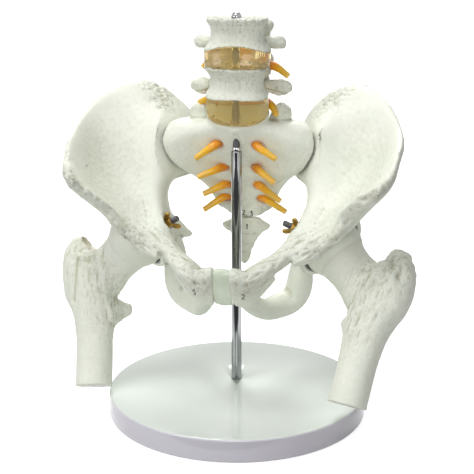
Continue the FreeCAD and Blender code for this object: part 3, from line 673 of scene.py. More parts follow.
def sculpt_vertebra(name, settings, material):
    """Pits and fine upright furrows on the body, rough ends on its processes."""
    body_front, centre_z, half_height, seed = VERTEBRAE[name]
    clay = Clay(name, settings.spine_grain)
    clay.relax(4)
    # The transverse processes narrow towards craggy ends
    for side in (1, -1):
        reach = clamped((side * clay.points[:, 0] - 29) / 13)
        across = (clay.points - clay.points[reach > 0.5].mean(0)) * (0, 1, 1)
        clay.points = clay.points - 0.38 * (reach ** 1.5)[:, None] * across
    points = clay.points
    x, y, z = points.T
    ends = clamped((np.abs(x) - 27) / 8)
    # How far up or down from the middle of the body, and whether on its front half
    up = (z - centre_z) / half_height
    on_body = clamped((12 - (y - body_front - 17)) / 10)
    rim = np.clip(np.abs(up) * 1.8 - 0.75, 0.12, 1)
    rim = rim * np.where(up > 0, 1.0, 0.7)
    furrows = 0.6 * streaks(points, (0, 0, 1), 1.35, 3.5, seed)
    furrows += 1.6 * pits(squeezed(points, (0, 0, 1), 2.5), 1.15, seed + 4)
    depth = settings.pit_depth / MM
    lips = clamped((np.abs(up) - 0.8) / 0.2) * on_body
    heights = depth * (2.2 * rim * furrows * on_body + (0.5 + 1.3 * (1 - on_body)) * rough_noise(points, seed)
                       + 1.6 * lips * noise(points, 3.4, seed + 6))
    heights += ends * (0.9 * noise(points, 4.5, seed + 8) + 0.4 * ridged(noise(points, 3.5, seed + 9)))
    clay.swell(heights)
    clay.rough = clamped(0.3 + 0.7 * rim * on_body + 0.4 * (1 - on_body))
    clay.finish(material, "stand")


# The sacrum's sides begin this far out
SACRUM_FLANK = 36


def closeness(clay, other, reach):
    """One where the clay nearly touches another object, falling off over its reach in millimetres."""
    tree = surface_tree(other.data)
    close = np.zeros(len(clay.points))
    for k in np.where(np.abs(clay.points[:, 0]) > SACRUM_FLANK)[0]:
        found = tree.find_nearest(Vector((clay.points[k] + SHOULDER) * MM), 2 * reach * MM)
        if found[0] is not None:
            close[k] = max(0.0, 1.6 - found[3] / MM / reach)
    return close


def sculpt_sacrum(settings, material):
    """Smooth in front, rough behind and along its lower edges, painted round the nerves."""
    clay = Clay("sacrum", settings.spine_grain)
    clay.relax(8)
    front = clamped((14 - clay.points[:, 1] + 0.7 * np.clip(-clay.points[:, 2], 0, 80)) / 8)
    clay.blend(front * clamped((28 - clay.points[:, 2]) / 6), 0.7, 0.3)
    # The stud goes into the bone just above the ring
    clay.points[:, 1] -= 4.5 * near(clay.points, STUD_MOUTH, 8.5)
    points = clay.points
    x, y, z = points.T
    depth = settings.pit_depth / MM
    behind = clamped((y - 30 - 0.6 * np.clip(-z, 0, 60)) / 14)
    lower = clamped((-z - 44) / 10) * clamped((np.abs(x) - 9) / 6)
    side_edge = near_line(np.stack([np.abs(x), y, z], -1), SACRUM_EDGE, 5.0)
    # The two joint knobs beside the disc
    knobs = clamped((z - 27) / 4) * clamped((np.abs(x) - 24) / 3)
    rough = clamped(behind + lower + 0.35 * side_edge + 0.7 * knobs)
    heights = depth * ((0.6 + 1.3 * rough) * rough_noise(points, 40) + 2.6 * lower * noise(points, 4.5, 46)
                       + 0.9 * noise(points, 11.0, 47))
    heights += knobs * (1.1 * noise(points, 5.0, 49) + 0.5 * ridged(noise(points, 3.6, 51)))
    # Low ridges where the vertebrae have grown together
    for height in SACRUM_RIDGES:
        heights += 0.45 * np.exp(-((z - height) / 2.2) ** 2) * clamped((14 - np.abs(x)) / 4)
    clay.swell(heights)
    clay.rough = 0.2 + 0.7 * rough
    # Nearly black painted shade where the sacrum nearly touches either hip bone
    for name in SIDES:
        hip = bpy.data.objects["hip_bone_" + name + "_cast"]
        clay.seam = np.maximum(clay.seam, closeness(clay, hip, 1.8))
    for side in (1, -1):
        for place in NERVE_HOLES:
            mouth = near(points, (side * place[0], place[1], place[2]), 5.5)
            clay.stain = np.maximum(clay.stain, 0.95 * mouth ** 2)
    clay.finish(material, "stand")


def sculpt_coccyx(settings, material):
    """Three shallow grooves across it, between the vertebrae that it has grown from."""
    clay = Clay("coccyx", settings.spine_grain * 0.8)
    clay.relax(5)
    depth = settings.pit_depth / MM
    heights = depth * (1.1 * rough_noise(clay.points, 60) + 1.2 * noise(clay.points, 3.6, 64))
    for height in COCCYX_GROOVES:
        heights -= 0.5 * np.exp(-((clay.points[:, 2] - height) / 1.2) ** 2)
    clay.swell(heights)
    clay.finish(material, "stand")


def sculpt_hip(name, settings, material):
    """A rough rolled crest, lumps where the ligaments hold, fibres along the ramus and a smooth wing."""
    side = SIDES[name]
    clay = Clay("hip_bone_" + name, settings.hip_grain)
    clay.relax(6)
    points = clay.points * (side, 1, 1)
    edge = near_line(points, CREST_LINE, 10.0) + near_line(points, FRONT_LINE, 4.0)
    inner = clamped((points[:, 2] + 76) / 10) * clamped(1.2 - edge)
    facing = -clay.normals()[:, 1] - 0.5 * side * clay.normals()[:, 0]
    inner *= clamped(clay.blur(clamped(facing), 12) * 4)
    # The outer side too, but not round the socket
    apart = np.linalg.norm(points - HIP_CENTRE, axis=1)
    outer = clamped((points[:, 2] + 70) / 12) * clamped((apart - 33) / 7)
    outer *= clamped(1.2 - edge) * clamped((points[:, 0] - 50) / 8)
    clay.blend(np.maximum(inner, 0.9 * outer), 1.0, 0.45)
    if name == "left":
        # The notch below the front spine is deeper on this side
        notch = near_line(points, NOTCH_LINE, 9.0)
        clay.points += notch[:, None] * (-5.0, 3.5, 1.5)
    points = clay.points * (side, 1, 1)
    depth = settings.pit_depth / MM
    crest = near_line(points, CREST_LINE, 6.5)
    front = near_line(points, FRONT_LINE, 7.0)
    ramus = near_line(points, RAMUS_LINE, 13.0)
    lower = near_line(points, ISCHIUM_LINE, 13.0)
    tuberosity = near_line(points, TUBEROSITY_LINE, 12.0)
    spine = near_line(points, SPINE_LINE, 10.0)
    pubis = near(points, PUBIC_TUBERCLE, 13.0)
    rough = clamped(0.9 * crest + 0.8 * front + 0.6 * ramus + 0.6 * lower + tuberosity + spine + pubis)
    heights = depth * ((0.3 + 1.7 * rough) * rough_noise(points, 80 + side)
                       + 1.5 * rough * pits(points, 1.9, 90))
    # The wing's broad undulation and the fibres that fan over it
    heights += 0.5 * noise(points, 21.0, 97 + side) + 0.07 * streaks(points, (0.5, 0.3, -0.8), 2.4, 9.0, 99)
    crags = 0.2 * ridged(noise(points, 5.5, 101)) + 0.65 * noise(points, 2.1, 102)
    heights += (tuberosity + 0.7 * spine) * crags
    heights += 0.9 * front * ridged(streaks(points, (0.6, -0.1, 0.7), 4.5, 1.6, 103))
    heights += 0.8 * ramus * (1 - front) * ridged(streaks(points, (0.82, 0.2, 0.5), 2.8, 5.0, 105))
    heights += 0.6 * pubis * ridged(noise(points, 4.0, 107)) + 0.9 * crest * noise(points, 3.2, 109)
    clay.swell(heights)
    # The extra share on the front spine darkens its colour there, as painted shade, and deepens its relief
    clay.rough = clamped(0.06 + 0.75 * rough + 0.3 * spine)
    clay.fibre = (0.68 * side, 0.2, 0.68)
    # The one small hole that feeds the bone, on the wing, as a dark spot of painted shade
    clay.seam = 0.8 * near(points, WING_HOLE, 1.1)
    # Painted shade in the socket, seen as a dark line round the ball
    apart = np.linalg.norm(points - HIP_CENTRE, axis=1)
    clay.seam = np.maximum(clay.seam, 0.85 * clamped((SOCKET_REACH - apart) / 0.9))
    clay.finish(material, "stand")


def sculpt_femur(name, settings, material):
    """Fibres down the shaft, a furrowed trochanter with its ridge and groove, and a smooth ball."""
    side = SIDES[name]
    clay = Clay("femur_" + name, settings.hip_grain * 0.8)
    centre = np.array(HIP_CENTRE) * (side, 1, 1)
    apart = np.linalg.norm(clay.points - centre, axis=1)
    outside = clamped((apart - 24.6) / 3)
    clay.relax(7, clamped(outside + 0.3))
    points = clay.points
    depth = settings.pit_depth / MM
    marks = FEMUR_MARKS[name]
    shaft = np.array(marks["shaft"], float)
    upper = clamped((apart - 28) / 12) * clamped((100 - apart) / 30)
    ridge = near_line(points, marks["ridge"], 3.2)
    around = near_line(points, marks["ridge"], 15.0)
    dish = near(points, marks["dish"], 9.0)
    fibres = 0.5 * streaks(points, shaft, 1.7, 7.0, 120 + side)
    fibres += 0.45 * ridged(streaks(points, shaft, 2.6, 6.0, 124))
    heights = depth * outside * (0.5 * rough_noise(points, 126) + (0.25 + 1.7 * around + 0.8 * upper) * fibres
                                 + 0.9 * around * pits(squeezed(points, shaft, 2.0), 1.8, 130)
                                 + 0.9 * noise(points, 14.0, 133))
    heights += outside * (2.3 * ridge - 2.4 * near_line(points, marks["groove"], 2.2))
    heights -= 2.6 * dish
    top = clamped(upper * near(points, marks["top"], 19.0))
    heights += top * (1.2 * ridged(noise(points, 6.0, 135)) + 0.8 * rough_noise(points, 137))
    clay.swell(heights)
    clay.rough = np.clip((0.15 + 0.32 * around + 0.18 * upper + 0.4 * top) * outside, 0.1, 1)
    clay.fibre = marks["shaft"]
    clay.stain = 0.22 * dish * outside
    clay.finish(material, "femur_" + name)


class PELVIS_OT_bones(bpy.types.Operator):
    """Sculpts the cast bones over their solids"""
    bl_idname = "pelvis.bones"
    bl_label = "Bones"

    def execute(self, context):
        settings = context.scene.pelvis_bones
        material = cast_pvc(tuple(settings.colour), tuple(settings.painted_shade_colour))
        for name in SIDES:
            sculpt_hip(name, settings, material)
            sculpt_femur(name, settings, material)
        sculpt_sacrum(settings, material)
        sculpt_coccyx(settings, material)
        for name in VERTEBRAE:
            sculpt_vertebra(name, settings, material)
        return {"FINISHED"}


# Strokes of the digits on a grid one wide and two high
DIGITS = {
    "1": (((0.2, 1.6), (0.6, 2.0), (0.6, 0.0)),),
    "2": (((0.0, 1.6), (0.3, 2.0), (0.8, 1.9), (0.9, 1.4), (0.0, 0.0), (1.0, 0.0)),),
    "3": (((0.0, 2.0), (0.9, 2.0), (0.4, 1.2), (0.9, 0.8), (0.8, 0.2), (0.4, 0.0), (0.0, 0.2)),),
    "5": (((0.9, 2.0), (0.1, 2.0), (0.1, 1.2), (0.7, 1.2), (1.0, 0.7), (0.7, 0.1), (0.0, 0.1)),),
}
# Each plain number with its bone and the place of its middle, from the shoulder
NUMBERS = (("2", "sacrum", (-1.5, 44, -61.5)), ("3", "sacrum", (5.0, 44, -62.5)),
           ("1", "coccyx", (1.3, 43.7, -74.0)), ("5", "hip_bone_right", (-21.3, -65.4, -98.3)),
           ("2", "hip_bone_left", (17.1, -66.0, -99.6)))
STROKE_WIDTH = 0.75 * MM
STROKE_HEIGHT = 0.08 * MM
# How far in front of a number the search for its bone begins
LOOK_FROM = 0.03


def ribbon(name, line, width, height, material):
    """A flat stroke laid along a line of surface points with their normals."""
    points = []
    for k, (place, normal) in enumerate(line):
        ahead = (line[min(k + 1, len(line) - 1)][0] - line[max(k - 1, 0)][0]).normalized()
        across = ahead.cross(normal).normalized() * width / 2
        for lift, side in ((-height, -1), (-height, 1), (height, 1), (height, -1)):
            points.append((place + across * side + normal * lift) / MM)
    return make_object(name, points, grid_faces(len(line), 4), material)


def lay_on(tree, places):
    """Surface points and normals straight behind the given places, seen from the front."""
    line = []
    for place in places:
        found, normal, _, _ = tree.ray_cast(Vector(place) - Vector((0, LOOK_FROM, 0)), Vector((0, 1, 0)))
        if found is None:
            raise ValueError("a stroke misses its bone")
        line.append((found, normal))
    return line


class PELVIS_OT_numbers(bpy.types.Operator):
    """Stamps the small plain numbers on the sacrum, the coccyx and the pubic bones"""
    bl_idname = "pelvis.numbers"
    bl_label = "Numbers"

    def execute(self, context):
        unit = context.scene.pelvis_stand.number_height / 2
        ink = number_ink()
        for seed, (digit, node, place) in enumerate(NUMBERS):
            tree = surface_tree(bpy.data.objects[node + "_cast"].data)
            x, y, z = pelvis_place(place)
            for stroke in DIGITS[digit]:
                corners = [(x + (a - 0.5) * unit, y, z + (b - 1.0) * unit) for a, b in stroke]
                line = lay_on(tree, smooth_path(corners, 5))
                made = ribbon("number_%d" % seed, line, STROKE_WIDTH, STROKE_HEIGHT, ink)
                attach(made, "stand")
        return {"FINISHED"}


# Soft pieces

# The middle of both lumbar discs, left and back from the shoulder
DISC_MIDDLE = (0.0, 16.0)


def flatten_rim(clay):
    """Straightens the bulge of a disc's rim between its two faces."""
    out = clay.points[:, :2] - DISC_MIDDLE
    size = np.linalg.norm(out, axis=1)
    normal = clay.normals()
    on_rim = clamped((1 - np.abs(normal[:, 2])) * 2.5)
    angle = np.round(np.arctan2(out[:, 1], out[:, 0]) * 18).astype(int)
    for sector in np.unique(angle[on_rim > 0.9]):
        chosen = np.where((angle == sector) & (on_rim > 0.5))[0]
        if len(chosen) < 4:
            continue
        heights = clay.points[chosen, 2]
        t = 2 * (heights - heights.min()) / max(heights.max() - heights.min(), 0.1) - 1
        clay.points[chosen, :2] += (out[chosen] / size[chosen, None]) * (1.5 * t ** 2 - 1.1)[:, None]


class PELVIS_OT_discs(bpy.types.Operator):
    """Makes the two lumbar discs and the pubic disc"""
    bl_idname = "pelvis.discs"
    bl_label = "Discs"

    def execute(self, context):
        settings = context.scene.pelvis_soft
        amber = clear_urethane("amber_urethane_disc", tuple(settings.disc_colour), linear("F6D98C"), 0.75)
        pale = clear_urethane("pale_urethane_disc", tuple(settings.pubic_colour), linear("E4EFDA"), 0.2)
        for node, material, slot in (("disc_l5_s1", amber, "disc_amber"), ("disc_l4_l5", amber, "disc_amber"),
                                     ("pubic_disc", pale, "disc_pale")):
            clay = Clay(node, 0.5 * MM)
            clay.relax(2)
            if slot == "disc_amber":
                flatten_rim(clay)
            clay.swell(0.15 * noise(clay.points, 4.0, 150))
            clay.finish(material, "stand")
        return {"FINISHED"}


# Root, bend and tip of each nerve, from the shoulder, as the solids have them
NERVES = {
    "l4_left": ((14, 26, 67), (27, 25, 64.5), (38, 21, 58)),
    "l4_right": ((14, 26, 86), (23, 24, 73), (31, 21, 63)),
    "l5_left": ((16, 27, 38), (25, 18, 34.5), (30.5, 8, 29)),
    "l5_right": ((16, 27, 41), (26, 20, 38), (33, 14, 36)),
    "s1_left": ((14, 10, 5), (18, -2, 4), (32.5, -7, -4)),
    "s1_right": ((14, 10, 5), (18, -2, 4), (32, -6, -6)),
    "s2_left": ((11.5, 22, -17), (16, 10, -17), (30, 2, -25)),
    "s2_right": ((11.5, 22, -17), (16, 10, -17), (32, 2, -23)),
    "s3_left": ((11, 36, -35), (15, 26, -34), (33, 18, -44)),
    "s3_right": ((11, 36, -35), (15, 26, -34), (31, 19, -41)),
    "s4_left": ((12, 46, -48), (17, 37, -47), (36, 30, -56)),
    "s4_right": ((12, 46, -48), (17, 37, -47), (33, 30, -57)),
}
# Radii of a nerve from its root to its tip
NERVE_RADII = (3.2, 3.7, 3.3, 2.8, 2.3)


def nerve_tube(name, path, material, seed):
    """A tapering tube with a rounded end. Its share of the way along is kept for the colour."""
    count = 20
    centres = smooth_path(path, 12)
    shares = np.linspace(0, 1, len(centres))
    sizes = np.interp(shares, np.linspace(0, 1, len(NERVE_RADII)), NERVE_RADII)
    ahead = np.gradient(centres, axis=0)
    ahead /= np.linalg.norm(ahead, axis=1, keepdims=True)
    across = np.cross(ahead, (0, 0, 1))
    across /= np.linalg.norm(across, axis=1, keepdims=True)
    over = np.cross(across, ahead)
    rows = [(k, sizes[k], 0.0) for k in range(len(centres))]
    last = len(centres) - 1
    for share, past in ((0.93, 0.25), (0.8, 0.35), (0.3, 0.2)):
        rows.append((last, sizes[-1] * share, past))
    points = []
    along = []
    angles = np.linspace(0, 2 * math.pi, count, endpoint=False)
    for k, size, past in rows:
        ring = np.cos(angles)[:, None] * across[k] + np.sin(angles)[:, None] * over[k]
        points.extend(centres[k] + ahead[k] * past + size * ring)
        along.extend([shares[k] + (0.4 if past > 0.3 or size < 0.5 * sizes[-1] else 0.0)] * count)
    points = np.array(points)
    middle = np.repeat(np.array([centres[k] + ahead[k] * past for k, _, past in rows]), count, axis=0)
    points += (points - middle) * (0.06 * noise(points, 2.6, seed))[:, None]
    made = make_object("nerve_" + name + "_vinyl", points + SHOULDER, grid_faces(len(rows), count), material)
    paint(made.data, "along", along)
    fit(made, "nerve_" + name, "stand")


class PELVIS_OT_nerves(bpy.types.Operator):
    """Makes the nerve trunk in the canal and the nerve roots"""
    bl_idname = "pelvis.nerves"
    bl_label = "Nerves"

    def execute(self, context):
        settings = context.scene.pelvis_soft
        material = nerve_vinyl(tuple(settings.root_colour), tuple(settings.tip_colour))
        for seed, (name, path) in enumerate(NERVES.items()):
            side = SIDES[name.split("_")[1]]
            nerve_tube(name, np.array(path) * (side, 1, 1), material, 200 + seed)
        clay = Clay("nerve_trunk", 0.7 * MM)
        clay.relax(5)
        # Its top end stays below the upper vertebra's arch
        z = clay.points[:, 2]
        clay.points[:, 2] = np.where(z > 60, 60 + (z - 60) * 0.74, z)
        points = clay.points * np.array([1.0, 1.0, 0.15])
        clay.swell(0.35 * noise(points, 2.2, 230))
        paint(clay.mesh, "along", 0.45 + 0.004 * clay.points[:, 2])
        clay.finish(material, "stand")
        return {"FINISHED"}


# Stand

# Radii of the holes round the stud and the base screw
STUD_HOLE = 3.05
SCREW_HOLE = 2.6
# Radius, foot and top of the rod's socket, the screw's recess and the screw's hole in the base
BASE_HOLES = ((4.35, 11.0, 25.0), (13.0, -5.0, 6.0), (SCREW_HOLE, -5.0, 25.0))


def round_box(node):
    """A turned solid's radius and the heights of its foot and top, in millimetres."""
    low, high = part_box(node)
    return (high.x - low.x) / 2 / MM, low.z / MM, high.z / MM


def to_rod(made, height=0.0):
    """Moves a piece's mesh from the Z axis to the rod's line, up to a height in metres."""
    move_mesh(made, Matrix.Translation((SHOULDER[0] * MM, SHOULDER[1] * MM, height)))


def cut_away(made, tool):
    """Cuts one piece out of another and deletes the tool."""
    cut = made.modifiers.new("Cut", "BOOLEAN")
    cut.object = tool
    cut.operation = "DIFFERENCE"
    cut.solver = "EXACT"
    made.data = evaluated_mesh(made)
    bpy.data.objects.remove(tool)


class PELVIS_OT_base(bpy.types.Operator):
    """Turns the round moulded base"""
    bl_idname = "pelvis.base"
    bl_label = "Base"

    def execute(self, context):
        radius, _, top = round_box("base")
        edge = context.scene.pelvis_stand.base_edge / MM
        inner = radius - 12
        profile = [(0.5, 0.0), (inner, 0.0)]
        profile += rounded_corner(radius - edge, edge, edge, -90, 0)
        profile += [(radius, top / 2)]
        profile += rounded_corner(radius - edge, top - edge, edge, 0, 90)
        profile += [(inner, top), (radius / 2, top), (0.5, top)]
        made = turned("base_moulding", profile, 288, moulded_abs(top))
        for hole, low, high in BASE_HOLES:
            tool = turned("cutter", [(hole, low), (hole, high)], 64)
            to_rod(tool)
            cut_away(made, tool)
        fit(made, "base", "stand")
        return {"FINISHED"}


def rod_profile():
    """The rod with an eased foot and top, hollow for the screw and the stud."""
    radius, foot, top = round_box("rod")
    profile = [(SCREW_HOLE, foot), (radius - 0.4, foot), (radius, foot + 0.4)]
    profile += [(radius, foot + (top - foot) * k / 8) for k in range(1, 8)]
    return profile + rounded_corner(radius - 0.5, top - 0.5, 0.5, 0, 90, 5) + [(STUD_HOLE, top)]


def ring_profile():
    """The bright ring round the stud, on the rod's top."""
    radius, foot, top = round_box("rod_ring")
    return [(STUD_HOLE, foot + 0.05), (radius - 0.3, foot + 0.05), (radius, foot + 0.35), (radius, top - 0.4),
            (radius - 0.35, top), (STUD_HOLE, top)]


def top_nut_profile():
    """A low domed nut, a little smaller than its solid."""
    _, foot, top = round_box("top_nut")
    radius = 4.0
    top -= 0.6
    dome = foot + 0.3
    profile = [(STUD_HOLE, foot + 0.02), (radius - 0.2, foot + 0.02), (radius, dome)]
    for angle in np.radians(range(8, 98, 10)):
        profile.append((radius * math.cos(angle), dome + (top - dome) * math.sin(angle)))
    return profile + [(0.05, top)]


def washer_profile():
    """The washer under the base, with eased edges."""
    radius, foot, top = round_box("base_washer")
    return [(SCREW_HOLE, foot), (radius - 0.2, foot), (radius, foot + 0.2), (radius, top - 0.2),
            (radius - 0.2, top), (SCREW_HOLE, top)]


def base_screw(material):
    """A pan head screw with a cross recess under the base."""
    head, foot, top = round_box("base_screw")
    profile = [(0.05, foot)]
    profile += rounded_corner(head - 1.4, foot + 1.4, 1.4, -90, 0, 6)
    profile += [(head, foot + 3.0), (2.5, foot + 3.0), (2.5, top - 0.5), (2.0, top), (0.05, top)]
    made = turned("base_screw_zinc", profile, 48, material)
    arm = ((-2.4, -0.45), (2.4, -0.45), (2.4, 0.45), (-2.4, 0.45))
    lift = Matrix.Translation((0, 0, (foot + 0.6) * MM))
    for turn in (0, math.pi / 2):
        tool = make_object("cutter", [(x, y, z) for z in (-1.6, 1.0) for x, y in arm], grid_faces(2, 4))
        move_mesh(tool, lift @ Matrix.Rotation(turn, 4, "Z"))
        cut_away(made, tool)
    to_rod(made)
    fit(made, "base_screw", "stand")


class PELVIS_OT_rod(bpy.types.Operator):
    """Turns the rod, its ring, the cap nut, the base screw and its washer"""
    bl_idname = "pelvis.rod"
    bl_label = "Rod"

    def execute(self, context):
        plate = chrome("chrome_plate", linear("DADCDD"), 0.05, 0.05)
        # The rod and the top nut get a darker chrome than the ring: painted shade
        shade_darkened_chrome = chrome("shade_darkened_chrome_rod", linear("A4A6A8"), 0.07, 0.06)
        silver = zinc()
        for name, node, profile, count, material, slot in (
                ("rod_plated", "rod", rod_profile(), 96, shade_darkened_chrome, "polished_rod"),
                ("rod_ring_plated", "rod_ring", ring_profile(), 64, plate, "bright_nut"),
                ("top_nut_plated", "top_nut", top_nut_profile(), 48, shade_darkened_chrome, "bright_nut"),
                ("base_washer_zinc", "base_washer", washer_profile(), 64, silver, "steel")):
            made = turned(name, profile, count, material)
            to_rod(made)
            fit(made, node, "stand")
        base_screw(silver)
        return {"FINISHED"}


def thread_tree(material):
    """Geometry nodes for a threaded bar: a core with one ridge wound round it."""
    tree = bpy.data.node_groups.new("threaded_bar", "GeometryNodeTree")
    tree.interface.new_socket("Geometry", in_out="OUTPUT", socket_type="NodeSocketGeometry")
    for name in ("Radius", "Pitch", "Length"):
        tree.interface.new_socket(name, in_out="INPUT", socket_type="NodeSocketFloat")
    given = add(tree, "NodeGroupInput").outputs
    length = given["Length"]
    turns = calculated(tree, "DIVIDE", length, given["Pitch"])
    depth = calculated(tree, "MULTIPLY", given["Pitch"], 0.42)
    core = calculated(tree, "SUBTRACT", given["Radius"], depth)
    winding = add(tree, "GeometryNodeCurveSpiral", {"Resolution": 20, "Rotations": turns, "Height": length,
                                                    "Start Radius": core, "End Radius": core})
    section = add(tree, "GeometryNodeCurvePrimitiveCircle", {"Resolution": 4, "Radius": depth})
    ridge = add(tree, "GeometryNodeCurveToMesh", {"Fill Caps": True, "Curve": winding.outputs[0],
                                                  "Profile Curve": section.outputs[0]})
    bar = add(tree, "GeometryNodeMeshCylinder", {"Vertices": 32, "Radius": core, "Depth": length})
    lift = add(tree, "ShaderNodeCombineXYZ", {"Z": calculated(tree, "MULTIPLY", length, 0.5)}).outputs[0]
    bar = add(tree, "GeometryNodeTransform", {"Geometry": bar.outputs[0], "Translation": lift})
    whole = add(tree, "GeometryNodeJoinGeometry", {0: bar.outputs[0]})
    tree.links.new(ridge.outputs[0], whole.inputs[0])
    real = add(tree, "GeometryNodeRealizeInstances", {0: whole.outputs[0]})
    dressed = add(tree, "GeometryNodeSetMaterial", {0: real.outputs[0], "Material": material})
    add(tree, "NodeGroupOutput", {0: dressed.outputs[0]})
    return tree


def threaded_bar(name, tree, radius, pitch, length):
    """A threaded bar up from the origin, with its sizes in metres."""
    made = put_object(name, bpy.data.meshes.new(name))
    winder = made.modifiers.new("Thread", "NODES")
    winder.node_group = tree
    for item in tree.interface.items_tree:
        if item.in_out == "INPUT":
            winder[item.identifier] = {"Radius": radius, "Pitch": pitch, "Length": length}[item.name]
    made.data = evaluated_mesh(made)
    return made


# How deep along their line the hip bolt begins and ends and the wing nut sits, and the bolt's radius
BOLT_START = 10.0
BOLT_END = 46.5
NUT_SEAT = 34.5
BOLT_RADIUS = 2.5
# The washer under the wing nut, and how the nut has come to rest on its bolt
WASHER_THICKNESS = 1.0
NUT_TURN = math.radians(60)
# Half of the wing nut's hub, as radius and height, and the outline of a wing, as reach and height
NUT_HUB = ((BOLT_RADIUS, 0.0), (4.0, 0.0), (4.2, 0.3), (3.9, 2.5), (3.45, 5.4), (3.1, 6.0),
           (BOLT_RADIUS, 6.0))
NUT_WING = ((2.6, 0.6), (4.6, 1.6), (6.6, 3.0), (8.4, 5.2), (8.7, 7.4), (7.8, 8.8), (6.2, 9.0), (4.8, 7.6),
            (3.6, 5.6), (2.6, 5.2))


def bolt_matrix(name, depth, turn=0.0):
    """Puts a piece that stands on the origin onto the hip bolt's line, pointing inwards."""
    side = SIDES[name]
    line = Vector((side * BOLT_LINE.x, BOLT_LINE.y, BOLT_LINE.z))
    start = pelvis_place(HIP_CENTRE, side) - line * depth * MM
    return (Matrix.Translation(start) @ (-line).to_track_quat("Z", "Y").to_matrix().to_4x4()
            @ Matrix.Rotation(turn, 4, "Z"))


class PELVIS_OT_threads(bpy.types.Operator):
    """Winds the threads of the stud and of the two hip bolts"""
    bl_idname = "pelvis.threads"
    bl_label = "Threads"

    def execute(self, context):
        settings = context.scene.pelvis_stand
        radius, foot, top = round_box("threaded_rod")
        stud = threaded_bar("threaded_stud", thread_tree(dark_steel()), radius * MM, settings.stud_pitch,
                            (top - foot) * MM)
        to_rod(stud, foot * MM)
        fit(stud, "threaded_rod", "stand")
        tree = thread_tree(dark_steel())
        for name in SIDES:
            bolt = threaded_bar("hip_bolt_" + name + "_threaded", tree, BOLT_RADIUS * MM, settings.bolt_pitch,
                                (BOLT_END - BOLT_START) * MM)
            move_mesh(bolt, bolt_matrix(name, BOLT_START))
            fit(bolt, "hip_bolt_" + name, "femur_" + name)
        return {"FINISHED"}


def wing_nut(name, material):
    """A tapered hub with two rounded wings, pressed from one piece of brass."""
    made = turned("wing_nut_" + name + "_brass", NUT_HUB, 40, material)
    whole = bmesh.new()
    whole.from_mesh(made.data)
    outline = np.array(NUT_WING)
    middle = outline.mean(0)
    size = len(outline)
    for side in (1, -1):
        rings = []
        for across, shrink in ((-1.1, 0.75), (-0.8, 0.95), (0, 1.0), (0.8, 0.95), (1.1, 0.75)):
            drawn = middle + (outline - middle) * shrink
            rings.append([whole.verts.new((side * x * MM, across * MM, z * MM)) for x, z in drawn])
        for low, high in zip(rings, rings[1:]):
            for k in range(size):
                whole.faces.new((low[k], low[(k + 1) % size], high[(k + 1) % size], high[k]))
        whole.faces.new(list(reversed(rings[0])))
        whole.faces.new(rings[-1])
    bmesh.ops.recalc_face_normals(whole, faces=whole.faces)
    whole.to_mesh(made.data)
    whole.free()
    made.data.shade_smooth()
    move_mesh(made, bolt_matrix(name, NUT_SEAT, NUT_TURN * SIDES[name]))
    fit(made, "wing_nut_" + name, "femur_" + name)


def hip_washer(name, material):
    """A plain washer, its top a hair under the nut so that the two faces don't flicker."""
    hole = BOLT_RADIUS + 0.2
    top = WASHER_THICKNESS - 0.05
    profile = [(hole, 0.0), (5.8, 0.0), (6.0, 0.2), (6.0, 0.8), (5.8, top), (hole, top)]
    made = turned("hip_washer_" + name + "_zinc", profile, 48, material)
    move_mesh(made, bolt_matrix(name, NUT_SEAT - WASHER_THICKNESS))
    fit(made, "hip_washer_" + name, "stand")


class PELVIS_OT_wing_nuts(bpy.types.Operator):
    """Makes the two wing nuts and their washers"""
    bl_idname = "pelvis.wing_nuts"
    bl_label = "Wing nuts"

    def execute(self, context):
        gold = brass()
        silver = zinc()
        for name in SIDES:
            wing_nut(name, gold)
            hip_washer(name, silver)
        return {"FINISHED"}


# Stage

# The photo's camera: its width and focal length in pixels, its place and how far it looks down and round
PHOTO_PIXELS = 474
FOCAL_PIXELS = 1200.4
CAMERA_PLACE = (0.16034, -0.90933, 0.40295)
CAMERA_DOWN = math.radians(15.52)
CAMERA_ROUND = math.radians(10.0)
SENSOR_WIDTH = 36.0
# Place and power of each soft lamp. All look at the middle of the model.
LAMPS = {
    "lamp_top": ((-0.45, -0.38, 2.0), 21.0),
    "lamp_back": ((-0.23, 1.32, 1.54), 21.0),
    "lamp_front": ((0.32, -1.8, 0.69), 12.0),
    "lamp_side": ((-1.41, -1.18, 0.69), 8.0),
}
LAMP_TARGET = Vector((0.0, 0.0, 0.2))
LAMP_SIZE = 1.0
# Corners of the cards in millimetres. The floor card begins just in front of the base.
CARDS = {
    "card_floor": ((-700, -1900, 1), (700, -1900, 1), (700, -125, 1), (-700, -125, 1)),
    "card_upright": ((-900, -1900, 0), (900, -1900, 0), (900, -1900, 1500), (-900, -1900, 1500)),
}
# Half width of the floor and its height, just under the base
FLOOR_REACH = 6000
FLOOR_HEIGHT = -0.2


def place_data(name, data, place, turn):
    """A lamp or camera at its place."""
    made = put_object(name, data)
    made.location = place
    made.rotation_euler = turn
    return made


def photo_camera():
    """The camera where the photographer's stood."""
    data = bpy.data.cameras.new("camera")
    data.sensor_width = SENSOR_WIDTH
    data.lens = FOCAL_PIXELS / PHOTO_PIXELS * SENSOR_WIDTH
    data.clip_start = 0.05
    data.clip_end = 50.0
    turn = (math.pi / 2 - CAMERA_DOWN, 0.0, CAMERA_ROUND)
    bpy.context.scene.camera = place_data("camera", data, CAMERA_PLACE, turn)


def soft_lamp(name, place, power):
    """A round softbox turned to the model."""
    data = bpy.data.lights.new(name, "AREA")
    data.shape = "DISK"
    data.size = LAMP_SIZE
    data.energy = power
    place_data(name, data, place, (LAMP_TARGET - Vector(place)).to_track_quat("-Z", "Y").to_euler())


def seen_directly(tree):
    """One for rays from the camera and for reflections and light through glass."""
    path = add(tree, "ShaderNodeLightPath").outputs
    first = calculated(tree, "MAXIMUM", path["Is Camera Ray"], path["Is Glossy Ray"])
    return calculated(tree, "MAXIMUM", first, path["Is Transmission Ray"])


